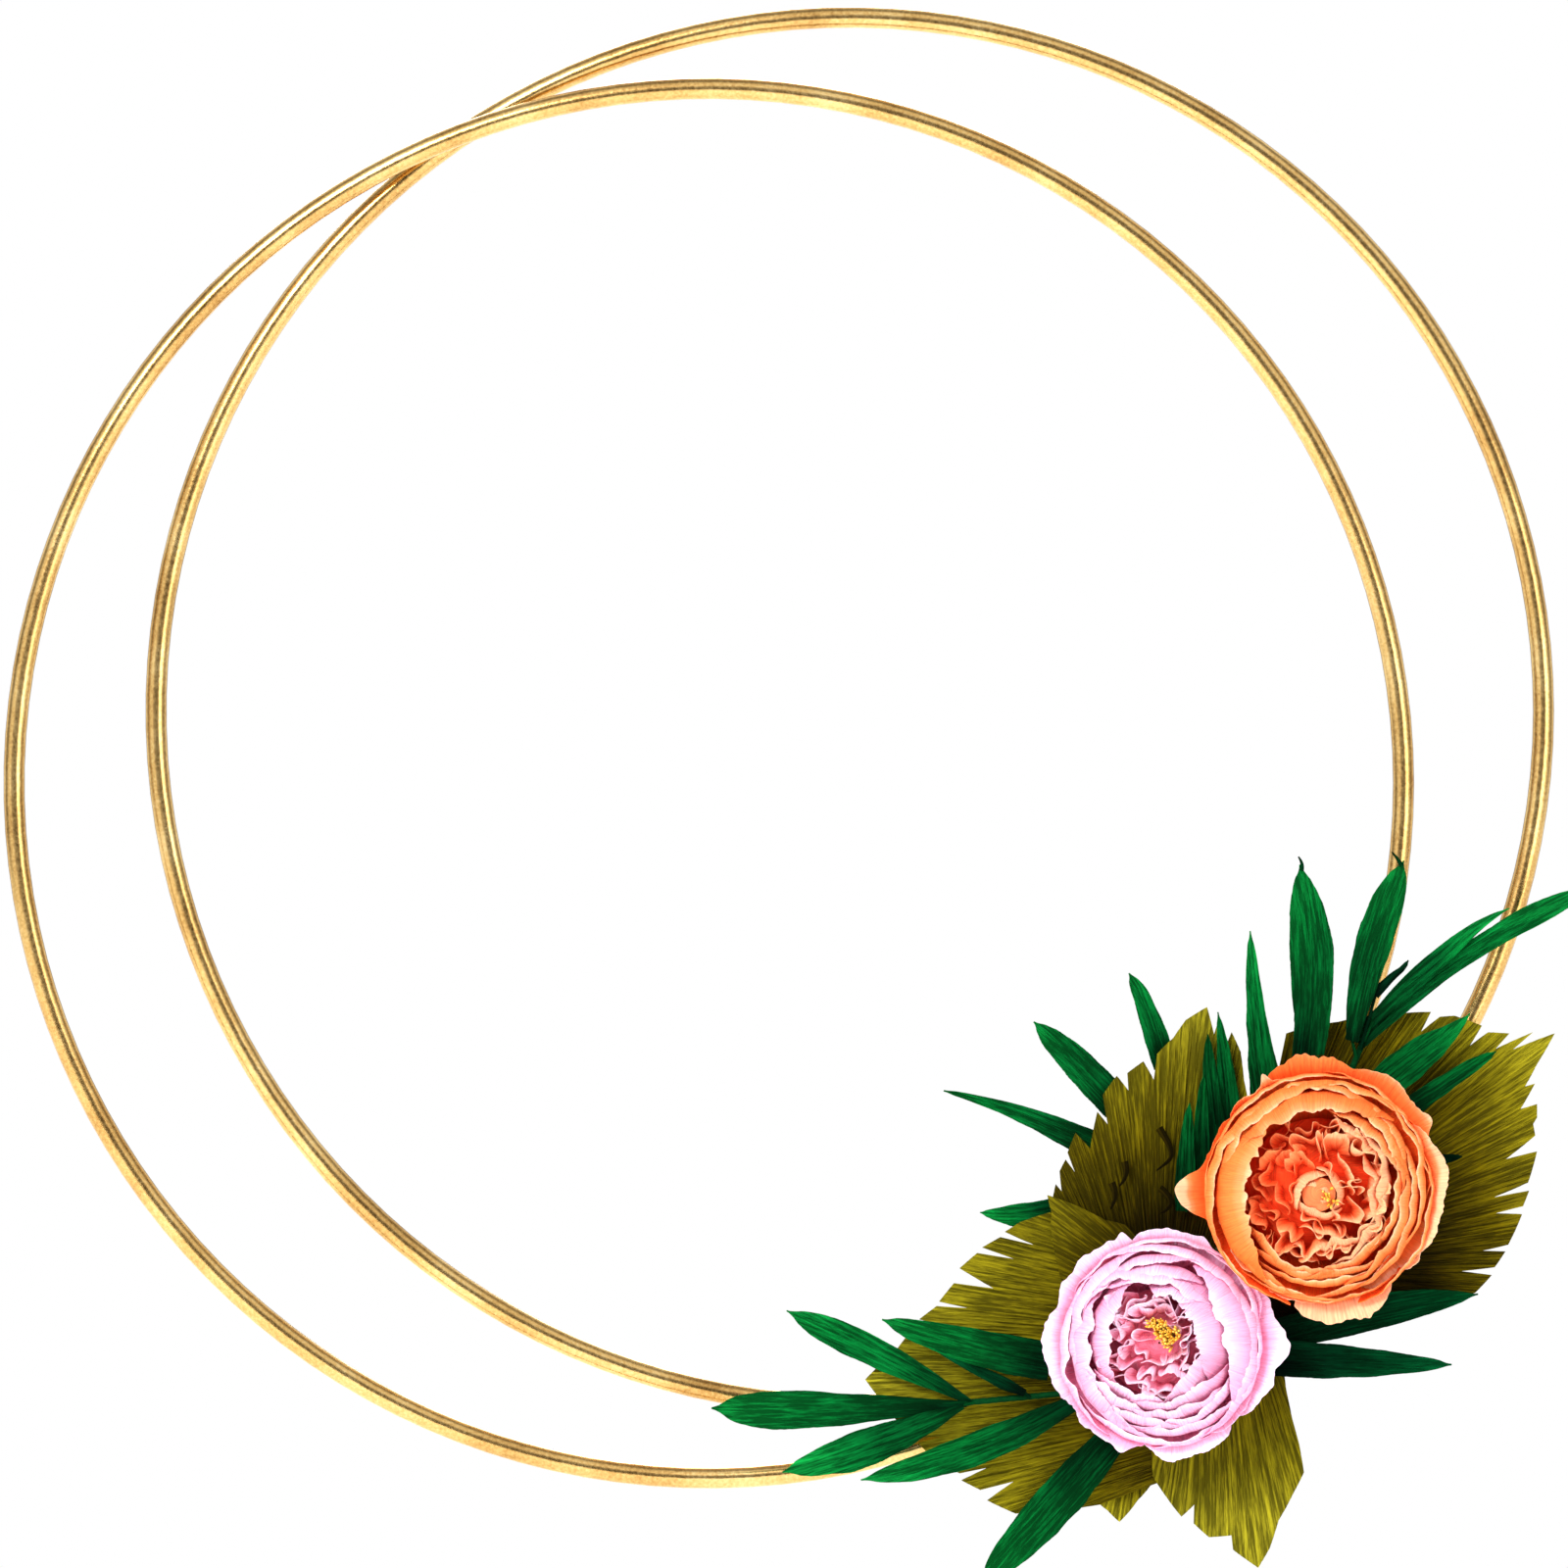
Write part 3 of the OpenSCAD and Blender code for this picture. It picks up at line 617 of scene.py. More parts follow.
def wrapped(sheets, points, r, seed, pitch=2.4, bare=0.0):
    """A wire wound with paper tape: its spiral edge stands up a little, and the bare end shows."""
    line = rounded(points)
    line[1:-1] += np.random.default_rng(seed).normal(0, 0.02, (len(line) - 2, 3))
    sheets.wire(line, r, sides=14, ink=(0.5, (seed % 10) / 10), ridge=0.05, ridge_pitch=pitch)
    if bare:
        way = line[-1] - line[-2]
        way = way / np.linalg.norm(way)
        sheets.wire([line[-1], line[-1] + way * bare], r * 0.42, sides=8, ink=(0.1, 0.9))


def taped(sheets, node, body="frame"):
    hand_in(sheets, node, body, WRAP, "_detail")


def towards(start, goal, way):
    """The point that lies way mm from start on the line to goal."""
    step = np.array(goal, float) - start
    return np.array(start) + step / np.linalg.norm(step) * way


def sprig_stems():
    for number, (name, (y, start, bend, stem)) in enumerate(SPRIGS.items()):
        begin = towards(bend, stem[0], JOINT_GAP)
        sheets = Paper()
        wrapped(sheets, [(begin[0], y, begin[1])] + [(q[0], y, q[1]) for q in stem], SPRIG_WIRE, 21 + number,
                bare=1.0)
        taped(sheets, name + "_sprig_stem", name + "_sprig")


def static_wires():
    sheets = Paper()
    for number, (name, (y, start, bend, stem)) in enumerate(SPRIGS.items()):
        away = on_ring(start, y)
        end = towards(bend, (away[0], away[2]), JOINT_GAP)
        wrapped(sheets, [on_ring(start, BUNDLE_DEPTH), away, (end[0], y, end[1])], SPRIG_WIRE, 31 + number)
    taped(sheets, "sprig_wires")
    sheets = Paper()
    for number, (spot, y, angle) in enumerate(LEAF_WIRES):
        line = [on_ring(angle, BUNDLE_DEPTH), (spot[0], y, spot[1])]
        wrapped(sheets, line, LEAF_WIRE, 41 + number, pitch=1.6)
    taped(sheets, "leaf_wires")


def calyx_spot(name):
    """Where a flower's back is, in mm from the front hoop's centre."""
    x, y, z = (np.array(middle(name + "_calyx")) - CENTRE) / MM
    return x, (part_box(name + "_calyx")[1][1] - CENTRE[1]) / MM, z


def flower_stem(name, start):
    x, back, z = calyx_spot(name)
    sheets = Paper()
    line = [on_ring(start, BUNDLE_DEPTH), (x, back + 3, z), (x, back - 9, z)]
    wrapped(sheets, line, FLOWER_WIRE, 51, pitch=2.8)
    taped(sheets, name + "_stem")


def bundle():
    """The stems gathered along the hoop under one winding of tape, with cut wire ends past both ends."""
    sheets = Paper()
    rng = np.random.default_rng(61)
    angles = np.linspace(*BUNDLE_ENDS, 150)
    line = [on_ring(a, BUNDLE_DEPTH) for a in angles]
    thick = BUNDLE_R - 0.08 - 0.25 * smooth((angles + 34) / 6) + 0.05 * ripples(62, angles * 3)
    sheets.wire(line, thick, sides=28, ink=(0.5, 0.4), ridge=0.035, ridge_pitch=7.0)
    for end, way in zip(BUNDLE_ENDS, (-1, 1)):
        for k in range(6):
            turn = k * pi / 3
            r = RING_R + 1.1 * cos(turn)
            y = BUNDLE_DEPTH + 1.1 * sin(turn)
            reach = rng.uniform(0.35, 1.0)
            sheets.wire([on_ring(end - way * 0.3, y, r), on_ring(end + way * reach, y, r)], CUT_WIRE,
                        ink=(0.2, 0.8))
    hand_in(sheets, "stem_bundle", "frame", TAPE, "_detail")


def belt(turns, grow):
    """Outline of a belt round the hoop's rod and the bundle: radial and depth offsets in mm."""
    rod = ROD_R / MM + grow
    bunch = BUNDLE_R + grow
    push = np.cos(turns)
    use = rod > bunch + BUNDLE_DEPTH * push
    offset = np.where(use, rod, bunch)
    return offset * np.sin(turns), np.where(use, 0, BUNDLE_DEPTH) + offset * push


def binding():
    """Three bands of stretch tape, each of three slanted turns laid over each other."""
    sheets = Paper()
    turns = row(0, 2 * pi, 97)
    v = column(-1, 1, 9)
    for number, centre in enumerate((-51.0, -40.5, -31.0)):
        for layer in range(3):
            grow = 0.16 + 0.15 * layer - 0.05 * v ** 2 + 0.03 * ripples(70 + layer, turns * 4 + number, v)
            out, depth = belt(turns, grow)
            slant = 0.35 * np.sin(turns + layer * 0.6) * (1, 1, -1)[layer]
            angle = np.radians(centre + (-0.62, 0.62, 0.0)[layer] + v * 0.82 + slant)
            p = place((RING_R + out) * np.cos(angle), depth, (RING_R + out) * np.sin(angle))
            ink = layered(0.5 + v / 2, 0.3 + 0.2 * layer)
            sheets.sheet(p, TAPE_SHEET * MM, v * 2.8, turns * 3.5, ink)
    hand_in(sheets, "binding_tape", "frame", TAPE, "_detail")


def lashing():
    """One wire wound three times round both rods where they cross, its ends twisted together."""
    sheets = Paper()
    apart = (CENTRE[1] - REAR_CENTRE[1]) / MM
    half = np.array([REAR_CENTRE[0] - CENTRE[0], REAR_CENTRE[2] - CENTRE[2]]) / MM / 2
    away = np.array([half[1], -half[0]]) / np.linalg.norm(half)
    crossing = half + away * sqrt(RING_R ** 2 - half.dot(half))
    out = crossing / np.linalg.norm(crossing)
    along = np.array([-out[1], out[0]])
    side, front, rear = 4.5, 1.1, -apart - 0.8
    loops, steps = 3, 48
    line = []
    for k in range(loops * steps + 1):
        turn = 2 * pi * k / steps
        depth = (front if cos(turn) > 0 else rear) - side * cos(turn)
        slip = (k / steps - loops / 2) * 0.86
        flat = crossing + out * side * sin(turn) + along * slip
        line.append((flat[0], depth, flat[1]))
    sheets.wire(line, LASHING_WIRE)
    for strand in range(2):
        tail = []
        for k in range(30):
            turn = k * 0.55 + strand * pi
            reach = side + 0.3 + k * 0.2
            flat = crossing + out * reach + along * 0.4 * sin(turn)
            tail.append((flat[0], (front + rear) / 2 + 0.4 * cos(turn), flat[1]))
        sheets.wire(tail, TWISTED_WIRE, sides=8)
    hand_in(sheets, "crossing_lashing", "frame", LASHING, "_detail")


sprig_stems()
static_wires()
flower_stem("pink", -49.5)
flower_stem("orange", -35.5)
bundle()
binding()
lashing()


# ------------ olive leaves

LEAF_SHEET = 0.3
LEAF_ROWS = 34
LEAF_STEP = 0.35
KNEE = 0.7


def fan_leaf(name, eye, outline, inner, seed, curl=2.0, wave=0.5, tone=(0.0, 1.0), torn=(), forward=0.0):
    """A leaf whose grain runs straight out from eye, all in mm. outline: (right, up) points along its cut
    edge, slit bottoms among them; inner: how far from eye the grain starts, at each end of the outline;
    curl: how far its edge leans to the viewer; wave: its unevenness; tone: how far along its colours
    run, at its root and at its edge, the low end painting the flowers' shade near its root; torn: lines of
    (right, up, how far in front) of the slivers that stand out of it; forward: how far in front of the CAD
    leaf's back it starts. KNEE is the share of its rows that lies between its root and the bottoms of its
    slits."""
    node = "olive_leaf_" + name
    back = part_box(node)[1][1] / MM - forward
    eye = np.array(eye, float)
    pts = np.array(outline, float) - eye
    reach = np.hypot(pts[:, 0], pts[:, 1])
    angle = np.unwrap(np.arctan2(pts[:, 1], pts[:, 0]))
    if angle[-1] < angle[0]:
        angle, reach = angle[::-1], reach[::-1]
    least = 0.25 / reach.max()
    for k in range(1, len(angle)):
        angle[k] = max(angle[k], angle[k - 1] + least)
    cols = [angle[0]]
    for a, b, r in zip(angle[:-1], angle[1:], reach[1:]):
        n = max(1, int(round((b - a) * r / LEAF_STEP)))
        cols.extend(a + (b - a) * (i + 1) / n for i in range(n))
    cols = np.array(cols)
    out = np.interp(cols, angle, reach)
    width = int(6 / LEAF_STEP)
    low = np.array([out[max(0, i - width): i + width + 1].min() for i in range(len(out))])
    low = np.convolve(np.pad(low, width, mode="edge"), np.ones(2 * width + 1) / (2 * width + 1), "valid")
    low = np.minimum(low, out)
    inner = np.interp(cols, (cols[0] + 0.5, cols[0] + 1.3), inner)[None, :]
    v = column(0, 1, LEAF_ROWS)
    low = np.maximum(low, inner[0] + 1)
    out = np.maximum(out, low)
    core = inner + (low[None, :] - inner) * np.minimum(v / KNEE, 1)
    rho = core + (out - low)[None, :] * np.clip((v - KNEE) / (1 - KNEE), 0, 1)
    th = np.broadcast_to(cols[None, :], rho.shape)
    x = eye[0] + rho * np.cos(th)
    z = eye[1] + rho * np.sin(th)
    share = (rho - inner.min()) / (out.max() - inner.min())
    across = (th - cols.mean()) * out.max() * 0.75
    y = back - curl * share ** 2 + wave * ripples(seed, across / 7, rho / 12) * smooth(share * 2)
    y = y + 0.17 * crinkle(seed + 3, across, rho)
    sheets = Paper()
    rng = np.random.default_rng(seed)
    # Painted shade: the leaf is darkest near its root, under the flowers, and turns to its own olive towards
    # its edge.
    shade = np.clip(tone[0] + (tone[1] - tone[0]) * share, 0, 1)
    ink = layered(shade, rng.uniform(0.3, 0.7))
    sheets.sheet(place(x, y, z), LEAF_SHEET * MM, across, rho, ink)
    for line in torn:
        sliver(sheets, line, back - curl)
    hand_in(sheets, node, "frame", OLIVE)


def sliver(sheets, line, back, width=1.9, cols=9, rows=20):
    """A thin torn strip that curls to a point."""
    line = rounded(line, step=0.3, ease=1.5)
    pick = np.linspace(0, len(line) - 1, rows).astype(int)
    line = np.array(line)[pick]
    ahead = np.gradient(line[:, :2], axis=0)
    ahead /= np.maximum(np.linalg.norm(ahead, axis=1, keepdims=True), 1e-9)
    t = column(0, 1, rows)
    s = row(-1, 1, cols)
    half = width / 2 * (1 - t) ** 0.8 + 0.08
    x = line[:, :1] - ahead[:, 1:2] * s * half
    z = line[:, 1:2] + ahead[:, :1] * s * half
    y = back - line[:, 2:3] - 0.5 * (1 - s ** 2) * half
    sheets.sheet(place(x, y, z), LEAF_SHEET * MM, s * half, t * 8, layered(0.3 - 0.25 * t, 0.4))


fan_leaf("inner", (128, -172), [
    (154, -104), (151.5, -84), (150.5, -76), (148, -70.5), (146.5, -74), (144.3, -67), (143, -71),
    (141, -63.3), (135, -67), (131.5, -72), (127, -76.5), (126, -84), (123, -78.7), (118.5, -82), (119, -87),
    (115.5, -82.8), (111.5, -88.3), (113.5, -96.5), (110, -93), (108, -103.5), (103.8, -99), (101.6, -104.5),
    (103.8, -110), (101, -106.5), (99.3, -109.8), (99.9, -115.5), (98.2, -113.5), (97, -120), (98, -128)
], (30, 36), 11, tone=(0.1, 1), torn=[
    [(127.4, -97.5, 0.3), (130, -101.5, 1.2), (131.6, -105.8, 1.6), (126.6, -109.6, 2.2)],
    [(127.6, -114.5, 0.3), (131.2, -117.5, 1), (130.6, -120.4, 1.6), (127.8, -121.6, 2)],
    [(114, -113, 0.3), (115.6, -116.8, 1), (113.6, -120.6, 1.5)],
    [(117.6, -107, 0.3), (118.6, -111, 0.9), (116.2, -114, 1.3)]])

fan_leaf("fold", (150, -160), [
    (118, -125), (112, -123.5), (104, -119.5), (95.8, -116.5), (97, -121.5), (96.8, -125.3), (98, -133),
    (100, -141.4)
], (22, 22), 12, curl=1.5, wave=0.4, tone=(0.15, 0.8))

fan_leaf("left", (215, -163), [
    (118, -122), (100, -120.5), (88.2, -124.2), (83.8, -127), (92.6, -130.9), (82.5, -128.5), (77.4, -131.4),
    (86.6, -134.7), (76, -133), (71, -137.3), (80.7, -143), (69.8, -139), (65.2, -146.7), (73.5, -148.6),
    (64.5, -148), (59.6, -151.7), (64.6, -153), (58, -154), (53.5, -159.8), (44.3, -168.7), (50.5, -177),
    (57.4, -185.3), (65.7, -185), (59.3, -186.7), (64.6, -192.3), (71, -195.3), (78.5, -192), (71.5, -197.3),
    (76.8, -200), (86.3, -197.3), (78.8, -203), (86.8, -206.7), (99, -206), (110.7, -204.2), (118, -200.5),
    (125.2, -196.2), (125, -188)
], (92, 92), 13, curl=2.5, wave=0.6, tone=(0.45, 1))

fan_leaf("small", (122, -172), [
    (125.7, -198), (121.5, -203), (116.3, -209.2), (113, -206), (110.7, -204.2)
], (12, 12), 14, curl=0, wave=0.3)

# This leaf's tone starts below the ramp, so a wider band by its root is painted in the orange flower's
# shadow.
fan_leaf("right", (150, -138), [
    (163.5, -82), (163.5, -70.8), (178.3, -67.5), (197.2, -65), (204.4, -64.7), (201.6, -70.3),
    (206.9, -66.1), (211.1, -65.8), (218.8, -68.6), (215.5, -74.2), (220.5, -70.5), (226.6, -70.8),
    (222.7, -75.2), (233.6, -70.9), (227.5, -75.4), (239.4, -70.8), (234.1, -80), (231, -85.8), (233.8, -85),
    (229.7, -92.2), (234.4, -90.8), (234.4, -94.5), (233.3, -96.4), (233.9, -99.7), (225.5, -106.4),
    (234.4, -104.2), (231.9, -113), (222.2, -117.2), (232.2, -115.3), (230.5, -119.7), (222.7, -121.7),
    (230.2, -122), (226.3, -130.6), (219.1, -132.3), (225.5, -132.5), (222.4, -137), (213, -138.1),
    (221.6, -139.2), (216.9, -144.2), (205, -147), (190, -152), (174, -156), (163, -158)
], (8, 30), 15, wave=0.6, tone=(-0.25, 1), forward=0.8)

fan_leaf("lower", (143, -120), [
    (161.6, -160), (163.5, -172), (165.2, -180), (167.2, -187.3), (168.5, -195.1), (165.5, -201),
    (161.3, -208.7), (158.8, -216.5), (155.5, -222), (147.7, -217), (148, -212.9), (141.6, -213.4),
    (137.2, -209.5), (137.4, -204.2), (133.8, -207.6), (129.5, -202), (125.7, -196.2), (125.5, -186),
    (127, -172)
], (42, 42), 16, curl=1.5, tone=(0.45, 1.1))


# ------------ flowers

def bezier(points, t):
    """The curve of any order that runs from the first of its points to the last."""
    layer = [np.array(p, float)[:, None, None] * np.ones_like(t)[None] for p in points]
    while len(layer) > 1:
        layer = [a + (b - a) * t[None] for a, b in zip(layer[:-1], layer[1:])]
    return layer[0]


class Flower:
    """A flower's own frame: radius and turn about its axis, and height from its back to the viewer."""

    def __init__(self, name, lean, top):
        x, self.back, z = calyx_spot(name)
        self.name, self.centre, self.lean, self.top = name, np.array((x, z)), lean, top
        self.sheets = Paper()

    def spot(self, r, turn, h):
        share = np.clip(h / self.top, 0, 1.2) ** 1.5
        x = self.centre[0] + r * np.cos(turn) + self.lean[0] * share
        z = self.centre[1] + r * np.sin(turn) + self.lean[1] * share
        return place(x, self.back - h, z)

    def finish(self, part, material, slot):
        """Makes the piece of the sheets gathered so far."""
        hand_in(self.sheets, self.name + "_" + part, self.name + "_bloom", material)
        self.sheets = Paper()


PETAL_SHEET = 0.16
RUFFLE_SHEET = 0.15
BED_SHEET = 0.3
CALYX_SHEET = 0.5
HEART_SHIFT = np.array((0.4, -1.4))


def petal(flower, turn, width, profile, seed, round_off=0.28, wave=1.1, lap=0.9, cup=1.4, roll=0.0,
          pale=0.0, base_width=0.45, peak=0.0, peak_at=0.0, peak_width=0.13, blunt=2, frill=0.0, frills=3.0,
          rows=34, cols=64):
    """One petal. turn and width in degrees; profile: (radius, height) points from its base to its rim.
    round_off: how much shorter its sides are; wave: the rim's slow waves; lap: how far one side stands
    outside its neighbour; cup: how much its sides close in; roll: how far the rim rolls back;
    pale: how much earlier it turns to its rim's colour; base_width: how wide its base is; peak: a point
    drawn out of the rim at peak_at, blunt if blunt is more than 2; frill: quick folds along the rim."""
    v = column(0, 1, rows) ** 0.9
    u = row(-1, 1, cols)
    size = max(p[0] for p in profile)
    reach = radians(width) * size / 2
    cut = 1 - round_off * np.abs(u) ** 3.2 + peak * np.exp(-np.abs((u - peak_at) / peak_width) ** blunt)
    cut = cut + 0.022 * ripples(seed + 1, u * reach / 1.6) + 0.0132 * ripples(seed + 2, u * reach / 0.4)
    t = v * cut
    r, h = bezier(profile, np.minimum(t, 1.0))
    past = np.clip(t - 1.0, 0, 0.7)
    r = r + past * 3 * (profile[-1][0] - profile[-2][0])
    h = h + past * 3 * (profile[-1][1] - profile[-2][1])
    wide = base_width + (1 - base_width) * smooth(t * 1.5)
    angle = radians(turn) + radians(width) / 2 * u * wide
    grow = np.clip(t, 0, 1.2) ** 2 * wave
    across = u * reach
    r = r + grow * (ripples(seed + 3, across / 2.4, t * 2.5) + 0.35 * ripples(seed + 7, across, t * 4))
    h = h + grow * (0.9 * ripples(seed + 4, across / 2.6, t * 2.5) + 0.25 * ripples(seed + 8, across, t * 4))
    folds = u * pi * frills + ripples(seed + 5, u * 7) * 1.2
    depth = frill * np.clip((t - 0.35) / 0.65, 0, 1) ** 1.2
    r = r + depth * np.sin(folds)
    angle = angle + depth * 0.6 * np.cos(folds) / size
    back = np.clip((t - 0.8) / 0.2, 0, 1.3) ** 2
    r = r + lap * u * smooth(t * 2) - cup * u ** 2 * smooth(t * 1.5) + roll * back
    h = h - abs(roll) * 0.8 * back
    h = h + 0.12 * crinkle(seed + 6, u * reach, t * 20) * smooth(t * 3)
    p = flower.spot(r, angle, h)
    step = np.linalg.norm(np.diff(p, axis=0), axis=-1)
    length = np.concatenate([np.zeros((1, cols)), np.cumsum(step, axis=0)]) / MM
    rng = np.random.default_rng(seed)
    tone = np.clip(t / (1 + 0.4 * (cut.max() - 1)) + pale * v, 0, 1)
    ink = layered(tone, rng.uniform(0.2, 0.8))
    flower.sheets.sheet(p, PETAL_SHEET * MM, u * reach * wide, length, ink)


def ruffle(flower, root, way, width, lean, low, high, seed, curl=1.3, pale=0.0, rows=18, cols=44):
    """A small folded petal of the middle: a strip bent into loops and waves, which leans out to way."""
    rng = np.random.default_rng(seed)
    u = row(-1, 1, cols)
    heading = curl * rng.uniform(0.5, 1.2) * rng.choice([-1, 1]) * u
    heading = heading + rng.uniform(0.5, 1.4) * np.sin(pi * u * rng.uniform(0.9, 1.5) + rng.uniform(0, 6.3))
    pace = width / (cols - 1)
    side = np.cumsum(np.cos(heading), axis=1) * pace
    front = np.cumsum(np.sin(heading), axis=1) * pace
    side, front = side - side.mean(), front - front.mean()
    v = column(0, 1, rows)
    t = v * (1 - 0.4 * np.abs(u) ** 2.4 + 0.07 * ripples(seed + 1, u * width))
    spread = 0.25 + 0.75 * smooth(t * 1.2)
    aside = side * spread + 0.5 * ripples(seed + 2, t * 4, u * 3) * t
    out = lean * t ** 1.5 + front * spread + 0.5 * ripples(seed + 3, t * 4, u * 4) * t
    h = low + (high - low) * (1 - (1 - np.clip(t, 0, 1)) ** 1.6) + 0.1 * crinkle(seed + 4, u * width / 2) * t
    a = radians(way)
    x = root[0] + out * cos(a) - aside * sin(a)
    z = root[1] + out * sin(a) + aside * cos(a)
    p = flower.spot(np.hypot(x, z), np.arctan2(z, x), h)
    ink = layered(np.clip(t + pale * t, 0, 1), rng.uniform(0.1, 0.9))
    flower.sheets.sheet(p, RUFFLE_SHEET * MM, u * width / 2, t * (high - low), ink)


def ruffles(flower, rings, seed, heart=(0.0, 0.0), sink=0.0, pale=0.05, **extras):
    """Rings of ruffles round the heart. rings: (count, radius of the roots, width, lean, height).
    sink: how much lower they stand on the left. Those towards the right are painted lighter and those towards
    the left darker, as painted light and shade."""
    rng = np.random.default_rng(seed)
    for ring, (count, r, width, lean, high) in enumerate(rings):
        first = rng.uniform(0, 360)
        for k in range(count):
            turn = first + 360 / count * k + rng.uniform(-12, 12)
            a = radians(turn)
            own = r + rng.uniform(-1.0, 1.0)
            root = (heart[0] + own * cos(a), heart[1] + own * sin(a))
            drop = sink * max(0.0, cos(a - radians(160))) * min(1.0, r / 10)
            # pale grows towards the right: painted light on the right-hand ruffles and painted shade on the
            # left-hand ones.
            ruffle(flower, root, turn + rng.uniform(-40, 40), width * rng.uniform(0.75, 1.25),
                   lean * rng.uniform(0.5, 1.3), 7.0, high - drop + rng.uniform(-1.2, 0.8),
                   seed + 97 * ring + 11 * k, pale=pale + 0.3 * cos(a + 0.3) * min(1.0, r / 10), **extras)


def bed(flower, r, low, high, seed, tone=0.25):
    """A crumpled dome under the ruffles, so that no gap shows between them."""
    turns = row(0, 2 * pi, 73)
    v = column(0.02, 1, 24)
    r = r * v
    h = low + (high - low) * (1 - v ** 2) + 0.9 * ripples(seed, r * np.cos(turns), r * np.sin(turns))
    h[:, -1] = h[:, 0]
    flower.sheets.sheet(flower.spot(r, turns, h), BED_SHEET * MM, r * turns, r, (tone, 0.5))


def shell(rim_r, rim_h, bulge, low=5.0, base=7.0):
    """Side view of an in-curved petal: out from its base, round, and back in to its rim."""
    return [(base, low), (rim_r + bulge * 1.75, low), (rim_r + bulge * 1.3, rim_h * 0.9), (rim_r, rim_h)]


def cupped(flower, petals, seed, cup=0.2, **extras):
    """In-curved petals. petals: (turn, width, rim radius, rim height, bulge, slant): slant is how
    much one end of the rim stands outside the other."""
    for k, (turn, width, rim_r, rim_h, bulge, slant) in enumerate(petals):
        petal(flower, turn, width, shell(rim_r, rim_h, bulge), seed + 17 * k, lap=slant, cup=cup, **extras)


def stamens(flower, spots, low, high, seed, count=10, spread=1.6):
    """Cut fringe: thin strips with a thicker pollen tip, in tufts at the spots given."""
    rng = np.random.default_rng(seed)
    for sx, sz in spots:
        for _ in range(count):
            fx, fz = rng.normal(0, spread, 2)
            top = high + rng.uniform(-1.6, 0.6)
            bend = rng.normal(0, 0.5, 2)
            line = []
            for k in range(6):
                t = k / 5
                x = sx + fx * (0.3 + 0.7 * t) + bend[0] * t * t
                z = sz + fz * (0.3 + 0.7 * t) + bend[1] * t * t
                line.append(flower.spot(hypot(x, z), atan2(z, x), low + (top - low) * t))
            thick = np.array([0.22, 0.2, 0.2, 0.22, 0.36, 0.2]) * MM * rng.uniform(0.85, 1.3)
            flower.sheets.tube(line, thick, sides=6, ink=(rng.uniform(0.3, 1.0), rng.uniform(0.2, 0.8)))
    flower.finish("stamens", YELLOW, "stamen_yellow")


def calyx(flower):
    """Green cup behind the petals, with five pointed sepals laid against them."""
    for k in range(5):
        petal(flower, 36 + 72 * k, 44, [(1.6, 0.4), (5, 1.5), (9, 3.2), (15, 4.4)], 900 + k,
              round_off=0.75, wave=0.4, lap=0.2, cup=0.0, base_width=0.9, rows=20, cols=22)
    turns = row(0, 2 * pi, 49)
    v = column(0, 1, 10)
    r, h = bezier([(1.35, 0.1), (4.0, 0.4), (6.5, 2.2), (7.0, 4.6)], v + 0 * turns)
    p = flower.spot(r + 0.15 * np.sin(turns * 9) * v, turns, h)
    flower.sheets.sheet(p, CALYX_SHEET * MM, turns * 6, v * 6, layered(v, 0.5))
    flower.finish("calyx", CALYX, "calyx_crepe")


def guard_petals(flower, guards, seed):
    for k, (turn, width, rim_r, rim_h, extras) in enumerate(guards):
        profile = [(7, 5.2), (rim_r * 0.62, 5.0), (rim_r * 0.88, 6.5), (rim_r, rim_h)]
        own = dict(wave=0.8, lap=0.5, cup=0.2, round_off=0.22)
        own.update(extras)
        petal(flower, turn, width, profile, seed + 7 * k, **own)


